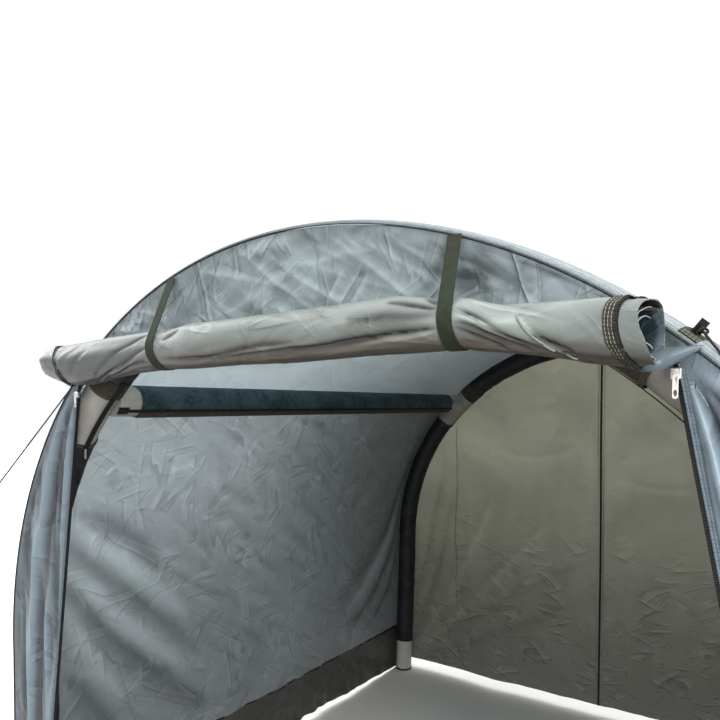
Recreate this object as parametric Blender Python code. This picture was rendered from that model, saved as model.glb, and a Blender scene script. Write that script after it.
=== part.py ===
"""An inflatable utility tent: two air-beam arches, two shoulder braces, fabric skin, rolled door, guy lines.

The origin is on the ground at the middle of the footprint. +Y runs from the door to the rear wall and +Z is up.
"""

import math

import bmesh
import bpy
from mathutils import Matrix, Vector

# Driving dimensions of the arches, measured on the beams' centrelines.
ARCH_HALF_WIDTH = 1.164
ARCH_TOP = 2.000
SPRING_HEIGHT = 0.867
FOOT_HALF_WIDTH = 1.199
TENT_DEPTH = 2.488
BEAM_INSET = 0.072

# Layers and running gaps.
GAP = 0.0003
FABRIC = 0.003
BLADDER_RADIUS = 0.049
SLEEVE_INNER = 0.0493
SLEEVE_OUTER = 0.052
BEAM_SIDES = 12

# Stations along an arch: an angle over the curved top, and down a leg a fraction of the leg, negative.
FOOT_STATION = -1.0
BRACE_STATION = 46.8
SHOULDER_STEPS = 6
CROWN_STEPS = 12
SLEEVE_SHOULDER_END = 40.0
SLEEVE_CROWN_START = 50.0
SLEEVE_FOOT_HEIGHT = 0.19
LEVEL_CUT = -0.95

# Feet.
PAD_RADIUS = 0.0512
PAD_HEIGHT = 0.012

# Canopy: the roof and the walls hang a little slack between the arches.
SEAM_OFFSET = 0.040
ROOF_SAG = 0.045
WALL_SAG = 0.035
SKIRT_HEIGHT = 0.275
HEM_LIFT = 0.025
CANOPY_ROWS = (-1.244, -1.222, -1.172, -0.88, -0.46, 0.0, 0.46, 0.88, 1.172, 1.222, 1.244)

# Shoulder braces: a bladder from arch to arch, with a zipped sleeve round its middle.
BRACE_BLADDER_RADIUS = 0.0470
BRACE_SLEEVE_INNER = 0.0473
BRACE_SLEEVE_OUTER = 0.050
BRACE_SLEEVE_ENDS = (-1.050, 0.990)
BRACE_LIFT = 0.002

# End walls and doorway.
REAR_HEM = 0.050
REAR_ZIP_WIDTH = 0.026
GABLE_BOTTOM = 1.790
GABLE_CORNER_REACH = 0.735
GABLE_CORNER_RISE = 0.66
DOOR_HALF_WIDTH = 1.0885
DOOR_TAPER = 0.1864
ZIP_TOP = 1.726
ZIP_TAPE_WIDTH = 0.024

# The rolled-up door: places along X, each with the height of the roll's axis and its radius there.
ROLL_WIDEST = 0.055
ROLL_PROFILE = (
    (-0.802, 1.797, 0.0350),
    (-0.775, 1.797, 0.0450),
    (-0.700, 1.789, 0.0545),
    (-0.620, 1.788, ROLL_WIDEST),
    (-0.500, 1.799, 0.0500),
    (-0.400, 1.804, 0.0460),
    (-0.200, 1.809, 0.0510),
    (0.000, 1.808, 0.0510),
    (0.200, 1.807, 0.0510),
    (0.350, 1.810, 0.0520),
    (0.530, 1.790, 0.0355),
    (0.600, 1.784, 0.0390),
    (0.690, 1.774, 0.0465),
    (0.755, 1.764, 0.0465),
)

# The two straps: where each is sewn to the gable, and the waist where it holds the roll, in the same terms.
STRAP_TOPS = ((-0.346, 1.985), (0.421, 1.965))
STRAP_WAISTS = ((-0.300, 1.806, 0.0445), (0.455, 1.803, 0.0415))
STRAP_WIDTH = 0.027
STRAP_SEAT = 0.016
STRAP_THICKNESS = 0.002
STRAP_TAIL_TOP = 1.860
STRAP_STEPS = 16
STRAP_WRAP = 200.0
STRAP_LEAVING_ANGLE = 300.0
STRAP_TURN_DROP = 0.008

# Guy lines, from a loop at each shoulder to a peg.
GUY_STATION = 49.5
GUY_INSET = 0.030
GUY_LOOP_LIFT = 0.0006
GUY_LOOP_LENGTH = 0.026
GUY_LOOP_WIDTH = 0.022
GUY_LOOP_THICKNESS = 0.003
GUY_LINE_RADIUS = 0.002
GUY_LINE_CLEARANCE = 0.0009
PEG_X = 2.05
PEG_Y = 1.95
PEG_RADIUS = 0.0035
PEG_EXPOSED = 0.045
PEG_HOOK_RADIUS = 0.011
PEG_HOOK_STEPS = 8
LINE_END_HEIGHT = 0.034

# Zip sliders and their hanging pulls.
SLIDER_SIZE = (0.014, 0.008, 0.016)
SLIDER_BEVEL = 0.0012
PIVOT_HEIGHT = 1.712
PIVOT_FROM_FACE = 0.0022
BAIL_WIDTH = 0.0024
BAIL_WALL = 0.0012
BAIL_HOLE = (0.0044, 0.006)
BAIL_SEAT = 0.0014
BAIL_ROOT = 0.001
PULL_THICKNESS = 0.0015
PULL_WIDTH = 0.008
PULL_EYE_WIDTH = 0.005
PULL_EYE_LENGTH = 0.006
PULL_LENGTH = 0.036
PULL_TIP_SHARE = 0.8

HALF_DEPTH = TENT_DEPTH / 2
BEAM_Y = HALF_DEPTH - BEAM_INSET
CANOPY_CROWN = SLEEVE_OUTER + GAP + FABRIC
CURVE_RISE = ARCH_TOP - SPRING_HEIGHT
ROLL_Y = -HALF_DEPTH - GAP - ROLL_WIDEST
HALVINGS = 50


def make_material(name, colour, roughness, metallic=0.0):
    material = bpy.data.materials.new(name)
    material.use_nodes = True
    shader = material.node_tree.nodes["Principled BSDF"]
    shader.inputs["Base Color"].default_value = (*colour, 1.0)
    shader.inputs["Roughness"].default_value = roughness
    shader.inputs["Metallic"].default_value = metallic
    return material


def make_object(name, mesh_builder, material, location=(0.0, 0.0, 0.0)):
    """Turns a finished bmesh into a named object, with its faces pointing out."""
    bmesh.ops.recalc_face_normals(mesh_builder, faces=mesh_builder.faces)
    if mesh_builder.calc_volume(signed=True) < 0.0:
        bmesh.ops.reverse_faces(mesh_builder, faces=mesh_builder.faces)
    mesh = bpy.data.meshes.new(name)
    mesh_builder.to_mesh(mesh)
    mesh_builder.free()
    mesh.materials.append(material)
    made = bpy.data.objects.new(name, mesh)
    made.location = location
    bpy.context.scene.collection.objects.link(made)
    return made


def shade_round(made, angle=50.0):
    made.data.shade_smooth()
    made.data.set_sharp_from_angle(angle=math.radians(angle))


def foot_station(height):
    """The station on a leg at a height above the ground."""
    return height / SPRING_HEIGHT - 1.0


def curve_point(station, offset):
    """(x, z) on the true arch at a station, moved outwards by offset. Stations past 90 are on the left."""
    side = 1.0 if station <= 90.0 else -1.0
    right = station if station <= 90.0 else 180.0 - station
    if right >= 0.0:
        angle = math.radians(right)
        x = ARCH_HALF_WIDTH * math.cos(angle)
        z = SPRING_HEIGHT + CURVE_RISE * math.sin(angle)
        out = Vector((math.cos(angle) / ARCH_HALF_WIDTH, math.sin(angle) / CURVE_RISE))
    else:
        x = ARCH_HALF_WIDTH - right * (FOOT_HALF_WIDTH - ARCH_HALF_WIDTH)
        z = SPRING_HEIGHT * (1.0 + right)
        out = Vector((SPRING_HEIGHT, FOOT_HALF_WIDTH - ARCH_HALF_WIDTH))
        if right < LEVEL_CUT:
            out = Vector((1.0, 0.0))
    out.normalize()
    return side * (x + offset * out.x), z + offset * out.y


def arch_point(station, offset=0.0):
    """(x, z) on the faceted arch, whose corners are the shared stations, moved outwards by offset."""
    for low, high in zip(shared_stations(), shared_stations()[1:]):
        if low < station < high:
            share = (station - low) / (high - low)
            near = Vector(curve_point(low, offset))
            far = Vector(curve_point(high, offset))
            return tuple(near.lerp(far, share))
    return curve_point(station, offset)


def station_at(height, offset):
    """The right-hand station where the arch's offset line reaches a height."""
    low, high = FOOT_STATION, 90.0
    for _ in range(HALVINGS):
        middle = (low + high) / 2
        if arch_point(middle, offset)[1] < height:
            low = middle
        else:
            high = middle
    return low


def shared_stations():
    """The stations that every layer over an arch keeps, so that their facets stay parallel."""
    shoulder = [BRACE_STATION * step / SHOULDER_STEPS for step in range(SHOULDER_STEPS)]
    crown_span = 180.0 - 2 * BRACE_STATION
    crown = [BRACE_STATION + crown_span * step / CROWN_STEPS for step in range(CROWN_STEPS + 1)]
    left = [180.0 - station for station in reversed(shoulder)]
    return shoulder + crown + left


def stations_between(start, end):
    margin = 1e-6
    inner = [station for station in shared_stations() if start + margin < station < end - margin]
    return [start, *inner, end]


def beam_ring(builder, station, radius, beam_y):
    ring = []
    for side in range(BEAM_SIDES):
        angle = 2 * math.pi * side / BEAM_SIDES
        x, z = arch_point(station, radius * math.cos(angle))
        ring.append(builder.verts.new((x, beam_y + radius * math.sin(angle), z)))
    return ring


def join_rings(builder, rings):
    for first, second in zip(rings, rings[1:]):
        for index in range(len(first)):
            after = (index + 1) % len(first)
            builder.faces.new((first[index], first[after], second[after], second[index]))


def make_bladder(name, beam_y, material):
    builder = bmesh.new()
    foot = foot_station(PAD_HEIGHT + GAP)
    rings = [
        beam_ring(builder, station, BLADDER_RADIUS, beam_y)
        for station in stations_between(foot, 180.0 - foot)
    ]
    join_rings(builder, rings)
    builder.faces.new(rings[0])
    builder.faces.new(rings[-1])
    shade_round(make_object(name, builder, material))


def make_sleeve(name, beam_y, start, end, material):
    """A zipped fabric sleeve round one stretch of a bladder, open at both ends."""
    builder = bmesh.new()
    stations = stations_between(start, end)
    outer = [beam_ring(builder, station, SLEEVE_OUTER, beam_y) for station in stations]
    inner = [beam_ring(builder, station, SLEEVE_INNER, beam_y) for station in stations]
    join_rings(builder, outer)
    join_rings(builder, inner)
    join_rings(builder, [outer[0], inner[0]])
    join_rings(builder, [outer[-1], inner[-1]])
    shade_round(make_object(name, builder, material))


def make_arch(name, beam_y, bladder_material, sleeve_material, pad_material):
    make_bladder(f"{name}_arch_bladder", beam_y, bladder_material)
    foot = foot_station(SLEEVE_FOOT_HEIGHT)
    spans = (
        ("right_sleeve", foot, SLEEVE_SHOULDER_END),
        ("top_sleeve", SLEEVE_CROWN_START, 180.0 - SLEEVE_CROWN_START),
        ("left_sleeve", 180.0 - SLEEVE_SHOULDER_END, 180.0 - foot),
    )
    for label, start, end in spans:
        make_sleeve(f"{name}_{label}", beam_y, start, end, sleeve_material)
    for label, side in (("left", -1), ("right", 1)):
        builder = bmesh.new()
        bmesh.ops.create_cone(
            builder,
            cap_ends=True,
            segments=BEAM_SIDES,
            radius1=PAD_RADIUS,
            radius2=PAD_RADIUS,
            depth=PAD_HEIGHT,
            matrix=Matrix.Rotation(math.pi / 2, 4, "Z"),
        )
        centre = (side * FOOT_HALF_WIDTH, beam_y, PAD_HEIGHT / 2)
        shade_round(make_object(f"{name}_{label}_foot_pad", builder, pad_material, centre))


def make_box(name, centre, half, material):
    builder = bmesh.new()
    bmesh.ops.create_cube(builder, size=2.0, matrix=Matrix.Diagonal((*half, 1.0)))
    return make_object(name, builder, material, centre)


def canopy_sag(station, y):
    """How far the fabric hangs inside the line of the arches: nothing at the arches, braces and hems."""
    slack = max(0.0, 1.0 - (y / BEAM_Y) ** 2)
    right = station if station <= 90.0 else 180.0 - station
    if right >= BRACE_STATION:
        across = (right - BRACE_STATION) / (90.0 - BRACE_STATION)
        return ROOF_SAG * slack * math.sin(math.pi / 2 * across)
    leg = SPRING_HEIGHT
    curve = math.radians(BRACE_STATION) * ARCH_HALF_WIDTH
    up = leg * (1.0 + right) if right < 0.0 else leg + math.radians(right) * ARCH_HALF_WIDTH
    return WALL_SAG * slack * math.sin(math.pi * up / (leg + curve))


def canopy_offset(station, y):
    """The outer face's distance from the arch's centreline. It turns down over the beam to the end seam."""
    past_beam = (abs(y) - BEAM_Y) / BEAM_INSET
    if past_beam > 0.0:
        turn = math.sqrt(max(0.0, 1.0 - past_beam**2))
        return SEAM_OFFSET + (CANOPY_CROWN - SEAM_OFFSET) * turn
    return CANOPY_CROWN - canopy_sag(station, y)


def hem_station(y):
    """The skirt's lower edge: on the ground at the feet, lifted a little between them."""
    return foot_station(HEM_LIFT * max(0.0, 1.0 - (y / BEAM_Y) ** 2))


def make_canopy_panel(name, start, end, material, hem=None):
    """A curved sheet from one station to the next, over the whole depth of the tent."""
    builder = bmesh.new()
    stations = stations_between(start, end)
    layers = []
    for depth in (0.0, FABRIC):
        grid = []
        for index, station in enumerate(stations):
            row = []
            for y in CANOPY_ROWS:
                at = station
                if hem == "start" and index == 0:
                    at = hem_station(y)
                if hem == "end" and index == len(stations) - 1:
                    at = 180.0 - hem_station(y)
                x, z = arch_point(at, canopy_offset(station, y) - depth)
                row.append(builder.verts.new((x, y, z)))
            grid.append(row)
        layers.append(grid)
    last_row = len(stations) - 1
    last_column = len(CANOPY_ROWS) - 1
    for grid in layers:
        for i in range(last_row):
            for j in range(last_column):
                builder.faces.new((grid[i][j], grid[i + 1][j], grid[i + 1][j + 1], grid[i][j + 1]))
    outer, inner = layers
    rim = [(0, j) for j in range(last_column)]
    rim += [(i, last_column) for i in range(last_row)]
    rim += [(last_row, j) for j in range(last_column, 0, -1)]
    rim += [(i, 0) for i in range(last_row, 0, -1)]
    for (i, j), (k, m) in zip(rim, rim[1:] + rim[:1]):
        builder.faces.new((outer[i][j], outer[k][m], inner[k][m], inner[i][j]))
    shade_round(make_object(name, builder, material), angle=40.0)


def make_canopy(material):
    skirt_top = foot_station(SKIRT_HEIGHT)
    seam = GAP / SPRING_HEIGHT
    bend = math.degrees(GAP / ARCH_HALF_WIDTH)
    make_canopy_panel("right_skirt", FOOT_STATION, skirt_top - seam, material, "start")
    make_canopy_panel("right_wall", skirt_top, BRACE_STATION - bend, material)
    make_canopy_panel("roof_panel", BRACE_STATION, 180.0 - BRACE_STATION, material)
    make_canopy_panel("left_wall", 180.0 - BRACE_STATION + bend, 180.0 - skirt_top, material)
    make_canopy_panel("left_skirt", 180.0 - skirt_top + seam, 180.0 - FOOT_STATION, material, "end")


def make_flat_panel(name, outline, front, thickness, material):
    """A flat sheet across the tent: an outline of (x, z) points, from its front face towards the rear."""
    builder = bmesh.new()
    near = [builder.verts.new((x, front, z)) for x, z in outline]
    far = [builder.verts.new((x, front + thickness, z)) for x, z in outline]
    builder.faces.new(near)
    builder.faces.new(far)
    join_rings(builder, [near, far])
    bmesh.ops.triangulate(builder, faces=[face for face in builder.faces if len(face.verts) > 4])
    make_object(name, builder, material)


def mirrored(outline):
    return [(-x, z) for x, z in reversed(outline)]


def make_rear_wall(fabric_material, zip_material):
    offset = SEAM_OFFSET - FABRIC - GAP
    front = HALF_DEPTH - FABRIC
    near_zip = REAR_ZIP_WIDTH / 2 + GAP
    top = math.degrees(math.acos(near_zip / (ARCH_HALF_WIDTH + offset)))
    hem = station_at(REAR_HEM, offset)
    half = [(near_zip, REAR_HEM)]
    half += [arch_point(station, offset) for station in stations_between(hem, top)]
    make_flat_panel("rear_wall_right", half, front, FABRIC, fabric_material)
    make_flat_panel("rear_wall_left", mirrored(half), front, FABRIC, fabric_material)
    crown = arch_point(top, offset)[1] - GAP
    side = REAR_ZIP_WIDTH / 2
    strip = [(-side, REAR_HEM), (side, REAR_HEM), (side, crown), (-side, crown)]
    make_flat_panel("rear_zip", strip, front, FABRIC, zip_material)


def door_edge(height):
    return DOOR_HALF_WIDTH - DOOR_TAPER * height


def wing_apex(inset, offset):
    """The height where a wing's inner edge, beside the zip tape, meets the arch's seam."""
    low, high = ZIP_TOP, GABLE_BOTTOM
    for _ in range(HALVINGS):
        middle = (low + high) / 2
        if door_edge(middle) + inset < arch_point(station_at(middle, offset), offset)[0]:
            low = middle
        else:
            high = middle
    return low


def make_front(fabric_material, tape_material):
    offset = SEAM_OFFSET - FABRIC - GAP
    front = -HALF_DEPTH
    inset = ZIP_TAPE_WIDTH + GAP
    apex = wing_apex(inset, offset)
    corner = station_at(apex + GAP, offset)
    gable = [arch_point(station, offset) for station in stations_between(corner, 180.0 - corner)]
    hem = [(GABLE_CORNER_REACH, apex + GAP), (GABLE_CORNER_RISE, GABLE_BOTTOM)]
    gable += [(-x, z) for x, z in hem] + hem[::-1]
    make_flat_panel("front_gable", gable, front, FABRIC, fabric_material)
    wing = [(door_edge(0.0) + inset, 0.0)]
    top = station_at(apex, offset)
    wing += [arch_point(station, offset) for station in stations_between(FOOT_STATION, top)]
    make_flat_panel("front_right_wing", wing, front, FABRIC, fabric_material)
    make_flat_panel("front_left_wing", mirrored(wing), front, FABRIC, fabric_material)
    tape = [
        (door_edge(0.0), 0.0),
        (door_edge(0.0) + ZIP_TAPE_WIDTH, 0.0),
        (door_edge(ZIP_TOP) + ZIP_TAPE_WIDTH, ZIP_TOP),
        (door_edge(ZIP_TOP), ZIP_TOP),
    ]
    make_flat_panel("right_door_zip", tape, front, FABRIC, tape_material)
    make_flat_panel("left_door_zip", mirrored(tape), front, FABRIC, tape_material)


def brace_rings(builder, station, radius, ends):
    """A ring of points round a brace's axis at each end. Their first point faces out of the tent."""
    centre_x, centre_z = arch_point(station, BRACE_LIFT)
    tip_x, tip_z = arch_point(station, BRACE_LIFT + 1.0)
    out = Vector((tip_x - centre_x, 0.0, tip_z - centre_z))
    rings = []
    for y in ends:
        ring = []
        for index in range(BEAM_SIDES):
            turn = Matrix.Rotation(2 * math.pi * index / BEAM_SIDES, 3, "Y")
            ring.append(builder.verts.new(Vector((centre_x, y, centre_z)) + turn @ out * radius))
        rings.append(ring)
    return rings


def make_braces(bladder_material, sleeve_material):
    reach = BEAM_Y - BLADDER_RADIUS - GAP
    for label, station in (("left", 180.0 - BRACE_STATION), ("right", BRACE_STATION)):
        builder = bmesh.new()
        rings = brace_rings(builder, station, BRACE_BLADDER_RADIUS, (-reach, reach))
        join_rings(builder, rings)
        builder.faces.new(rings[0])
        builder.faces.new(rings[1])
        shade_round(make_object(f"{label}_brace_bladder", builder, bladder_material))

        builder = bmesh.new()
        outer = brace_rings(builder, station, BRACE_SLEEVE_OUTER, BRACE_SLEEVE_ENDS)
        inner = brace_rings(builder, station, BRACE_SLEEVE_INNER, BRACE_SLEEVE_ENDS)
        for rings in (outer, inner, [outer[0], inner[0]], [outer[1], inner[1]]):
            join_rings(builder, rings)
        shade_round(make_object(f"{label}_brace_sleeve", builder, sleeve_material))


def roll_stations():
    """The roll's profile, which is level and evenly round under each strap."""
    seats = [(x + side * STRAP_SEAT, height, radius) for x, height, radius in STRAP_WAISTS for side in (-1, 1)]
    return sorted([*ROLL_PROFILE, *seats])


def make_roll(material):
    builder = bmesh.new()
    rings = []
    for x, height, radius in roll_stations():
        ring = []
        for side in range(BEAM_SIDES):
            angle = 2 * math.pi * side / BEAM_SIDES
            y = ROLL_Y + radius * math.cos(angle)
            ring.append(builder.verts.new((x, y, height + radius * math.sin(angle))))
        rings.append(ring)
    join_rings(builder, rings)
    builder.faces.new(rings[0])
    builder.faces.new(rings[-1])
    shade_round(make_object("door_roll", builder, material))


def strap_path(top, waist):
    """Points of a strap's middle line: from the gable seam, round the roll and up behind the gable."""
    top_x, top_z = top
    waist_x, waist_z, waist_radius = waist
    half_step = math.radians(STRAP_WRAP) / STRAP_STEPS / 2
    reach = (waist_radius + GAP) / math.cos(half_step) + STRAP_THICKNESS / 2
    centre = Vector((ROLL_Y, waist_z))
    start = Vector((-HALF_DEPTH - GAP - STRAP_THICKNESS / 2, top_z))
    to_start = start - centre
    leave = math.atan2(to_start.y, to_start.x) + math.acos(reach / to_start.length)
    under = math.radians(STRAP_LEAVING_ANGLE)
    points = [Vector((top_x, start.x, start.y))]
    for step in range(STRAP_STEPS + 1):
        angle = leave + (under - leave) * step / STRAP_STEPS
        y = centre.x + reach * math.cos(angle)
        points.append(Vector((waist_x, y, centre.y + reach * math.sin(angle))))
    behind = -HALF_DEPTH + FABRIC + GAP + STRAP_THICKNESS / 2
    points.append(Vector((waist_x, behind, GABLE_BOTTOM - STRAP_TURN_DROP)))
    points.append(Vector((waist_x, behind, STRAP_TAIL_TOP)))
    return points


def make_strap(name, path, material):
    """A flat band, as wide as its strap along X, that follows a path of points."""
    builder = bmesh.new()
    rings = []
    for index, point in enumerate(path):
        before = path[max(index - 1, 0)]
        after = path[min(index + 1, len(path) - 1)]
        along_in = (point - before).normalized() if index else (after - point).normalized()
        along_out = (after - point).normalized() if index < len(path) - 1 else along_in
        along = (along_in + along_out).normalized()
        across = Vector((0.0, -along.z, along.y)).normalized()
        lengthen = 1.0 / max(0.5, math.sqrt((1.0 + along_in.dot(along_out)) / 2))
        ring = []
        for wide, thick in ((-1, -1), (1, -1), (1, 1), (-1, 1)):
            corner = point + across * thick * lengthen * STRAP_THICKNESS / 2
            corner.x += wide * STRAP_WIDTH / 2
            ring.append(builder.verts.new(corner))
        rings.append(ring)
    join_rings(builder, rings)
    builder.faces.new(rings[0])
    builder.faces.new(rings[-1])
    make_object(name, builder, material)


def make_guy(label, side, end, loop_material, line_material, peg_material):
    """One guy: a webbing loop on the shoulder, a taut line and its peg. side is left or right, end front or rear."""
    y = end * (HALF_DEPTH - GUY_INSET)
    station = GUY_STATION if side > 0 else 180.0 - GUY_STATION
    foot_x, foot_z = arch_point(station, canopy_offset(station, y))
    tip_x, tip_z = arch_point(station, canopy_offset(station, y) + 1.0)
    out = Vector((tip_x - foot_x, 0.0, tip_z - foot_z))
    foot = Vector((foot_x, y, foot_z))
    peg = Vector((side * PEG_X, end * PEG_Y, LINE_END_HEIGHT))
    down_line = (peg - foot).normalized()
    away = (down_line - out * down_line.dot(out)).normalized()
    across = out.cross(away).normalized()

    builder = bmesh.new()
    turn = Matrix((across, away, out)).transposed().to_4x4()
    half = (GUY_LOOP_WIDTH / 2, GUY_LOOP_THICKNESS / 2, GUY_LOOP_LENGTH / 2)
    centre = foot + out * (GUY_LOOP_LIFT + GUY_LOOP_LENGTH / 2)
    bmesh.ops.create_cube(builder, size=2.0, matrix=turn @ Matrix.Diagonal((*half, 1.0)))
    make_object(f"{label}_guy_loop", builder, loop_material, centre)

    start = centre + away * (GUY_LOOP_THICKNESS / 2 + GUY_LINE_CLEARANCE)
    level = Vector((down_line.x, down_line.y, 0.0)).normalized()
    tilt = abs(down_line.z) * GUY_LINE_RADIUS
    finish = peg - level * (PEG_RADIUS + GAP + tilt)
    make_tube(f"{label}_guy_line", [start, finish], GUY_LINE_RADIUS, line_material)

    points = [Vector((0.0, 0.0, 0.0)), Vector((0.0, 0.0, PEG_EXPOSED))]
    for step in range(1, PEG_HOOK_STEPS + 1):
        angle = math.pi * step / PEG_HOOK_STEPS
        reach = PEG_HOOK_RADIUS * (1.0 - math.cos(angle))
        points.append(level * reach + Vector((0.0, 0.0, PEG_EXPOSED + PEG_HOOK_RADIUS * math.sin(angle))))
    make_tube(f"{label}_peg", points, PEG_RADIUS, peg_material, (peg.x, peg.y, 0.0))


def make_tube(name, points, radius, material, location=(0.0, 0.0, 0.0)):
    curve = bpy.data.curves.new(name, "CURVE")
    curve.dimensions = "3D"
    curve.bevel_depth = radius
    curve.bevel_resolution = 2
    curve.use_fill_caps = True
    spline = curve.splines.new("POLY")
    spline.points.add(len(points) - 1)
    for slot, point in zip(spline.points, points):
        slot.co = (*point, 1.0)
    curve.materials.append(material)
    made = bpy.data.objects.new(name, curve)
    made.location = location
    bpy.context.scene.collection.objects.link(made)


def make_extrusion(name, outline, half_width, material, location):
    """An outline of (y, z) points, extruded to both sides along X."""
    builder = bmesh.new()
    left = [builder.verts.new((-half_width, y, z)) for y, z in outline]
    right = [builder.verts.new((half_width, y, z)) for y, z in outline]
    builder.faces.new(left)
    builder.faces.new(right)
    join_rings(builder, [left, right])
    return make_object(name, builder, material, location)


def make_zip_slider(label, side, material):
    """A slider at the top of a door zip, with the bail that its pull hangs from."""
    x = side * (door_edge(ZIP_TOP) + ZIP_TAPE_WIDTH / 4)
    back = -HALF_DEPTH - GAP
    face = back - SLIDER_SIZE[1]
    centre = (x, (back + face) / 2, PIVOT_HEIGHT)
    body = make_box(f"{label}_zip_slider", centre, [size / 2 for size in SLIDER_SIZE], material)
    bevel = body.modifiers.new("edges", "BEVEL")
    bevel.width = SLIDER_BEVEL
    bevel.segments = 1
    depth, height = BAIL_HOLE
    inner_front = -depth
    outer_front = -depth - BAIL_WALL
    low = -BAIL_SEAT
    high = height - BAIL_SEAT
    outline = [
        (BAIL_ROOT, high + BAIL_WALL),
        (outer_front, high + BAIL_WALL),
        (outer_front, low - BAIL_WALL),
        (BAIL_ROOT, low - BAIL_WALL),
        (BAIL_ROOT, low),
        (inner_front, low),
        (inner_front, high),
        (BAIL_ROOT, high),
    ]
    bail = make_extrusion(f"{label}_zip_bail", outline, BAIL_WIDTH / 2, material, (x, face, PIVOT_HEIGHT))
    bail.hide_render = True
    bail.display_type = "WIRE"
    join = body.modifiers.new("bail", "BOOLEAN")
    join.operation = "UNION"
    join.object = bail
    return x, face - PIVOT_FROM_FACE


def make_zip_pull(label, x, pivot_y, material):
    """The hanging tab. Its top bar, which is the hinge, lies inside the slider's bail."""
    builder = bmesh.new()
    bar = PULL_THICKNESS / 2
    wide = PULL_WIDTH / 2
    eye = PULL_EYE_WIDTH / 2
    eye_end = -bar - PULL_EYE_LENGTH
    neck = eye_end - PULL_THICKNESS
    taper = wide * PULL_TIP_SHARE
    outer = [(-wide, bar), (wide, bar), (wide, neck), (taper, -PULL_LENGTH), (-taper, -PULL_LENGTH), (-wide, neck)]
    inner = [(-eye, -bar), (eye, -bar), (eye, eye_end), (eye / 2, eye_end), (-eye / 2, eye_end), (-eye, eye_end)]
    layers = []
    for y in (-bar, bar):
        layers.append([[builder.verts.new((px, y, pz)) for px, pz in ring] for ring in (outer, inner)])
    for rings in layers:
        join_rings(builder, rings)
    for index in (0, 1):
        join_rings(builder, [layers[0][index], layers[1][index]])
    make_object(f"{label}_zip_pull", builder, material, (x, pivot_y, PIVOT_HEIGHT))


def main():
    for old in list(bpy.data.objects):
        bpy.data.objects.remove(old)

    outer_fabric = make_material("tent_fabric", (0.23, 0.26, 0.30), 0.55)
    sleeve_fabric = make_material("beam_sleeve", (0.02, 0.022, 0.025), 0.65)
    brace_fabric = make_material("brace_sleeve", (0.035, 0.07, 0.09), 0.6)
    bladder_film = make_material("air_bladder", (0.52, 0.55, 0.56), 0.35)
    rubber = make_material("foot_rubber", (0.03, 0.03, 0.03), 0.7)
    webbing = make_material("webbing", (0.06, 0.07, 0.045), 0.75)
    zip_tape = make_material("zip_tape", (0.02, 0.02, 0.022), 0.6)
    cord = make_material("guy_cord", (0.02, 0.02, 0.02), 0.7)
    bright_metal = make_material("bright_metal", (0.75, 0.76, 0.78), 0.25, 1.0)
    peg_steel = make_material("peg_steel", (0.55, 0.56, 0.58), 0.35, 1.0)

    make_arch("front", -BEAM_Y, bladder_film, sleeve_fabric, rubber)
    make_arch("rear", BEAM_Y, bladder_film, sleeve_fabric, rubber)
    make_braces(bladder_film, brace_fabric)
    make_canopy(outer_fabric)
    make_rear_wall(outer_fabric, zip_tape)
    make_front(outer_fabric, zip_tape)
    make_roll(outer_fabric)
    for label, top, waist in zip(("left", "right"), STRAP_TOPS, STRAP_WAISTS):
        make_strap(f"{label}_roll_strap", strap_path(top, waist), webbing)
    for end_label, end in (("front", -1), ("rear", 1)):
        for side_label, side in (("left", -1), ("right", 1)):
            make_guy(f"{end_label}_{side_label}", side, end, webbing, cord, peg_steel)
    for label, side in (("left", -1), ("right", 1)):
        x, pivot_y = make_zip_slider(label, side, bright_metal)
        make_zip_pull(label, x, pivot_y, bright_metal)


main()
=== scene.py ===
import math

import bmesh
import bpy
import numpy as np
from mathutils import Matrix, Vector


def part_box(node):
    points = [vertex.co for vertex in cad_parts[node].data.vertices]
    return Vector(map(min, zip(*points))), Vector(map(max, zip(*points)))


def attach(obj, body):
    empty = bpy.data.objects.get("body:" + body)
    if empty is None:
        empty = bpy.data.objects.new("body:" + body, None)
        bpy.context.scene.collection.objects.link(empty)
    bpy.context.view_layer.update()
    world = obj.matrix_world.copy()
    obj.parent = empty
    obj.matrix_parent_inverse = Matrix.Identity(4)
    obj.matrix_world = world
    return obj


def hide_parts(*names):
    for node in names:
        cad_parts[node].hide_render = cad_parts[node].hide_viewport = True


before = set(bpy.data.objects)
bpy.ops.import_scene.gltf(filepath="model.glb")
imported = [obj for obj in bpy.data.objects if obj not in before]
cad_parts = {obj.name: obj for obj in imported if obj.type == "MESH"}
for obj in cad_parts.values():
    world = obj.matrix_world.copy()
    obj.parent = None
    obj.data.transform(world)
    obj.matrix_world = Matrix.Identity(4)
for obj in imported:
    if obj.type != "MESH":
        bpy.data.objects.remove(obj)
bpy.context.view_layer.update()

# The arches, measured on the beams' centrelines, as the frame has them.
ARCH_HALF_WIDTH = 1.164
ARCH_TOP = 2.000
SPRING_HEIGHT = 0.867
FOOT_HALF_WIDTH = 1.199
HALF_DEPTH = 1.244
BEAM_Y = 1.172
BLADDER_RADIUS = 0.0488
SLEEVE_RADIUS = 0.0505
CANOPY_CROWN = 0.0543
SEAM_OFFSET = 0.040
PANEL_OFFSET = 0.0367
ROOF_SAG = 0.045
WALL_SAG = 0.035
SKIRT_HEIGHT = 0.275
HEM_LIFT = 0.025
PAD_HEIGHT = 0.012

# Where sleeves start and end: angles on the curved top, heights on the legs.
BRACE_ANGLE = 46.8
SHOULDER_ANGLE = 40.0
CROWN_ANGLE = 50.0
SLEEVE_FOOT = 0.19

# Shoulder braces.
BRACE_LIFT = 0.002
BRACE_BLADDER_RADIUS = 0.0468
BRACE_SLEEVE_RADIUS = 0.0492
BRACE_SLEEVE_ENDS = (-1.050, 0.990)

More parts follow.
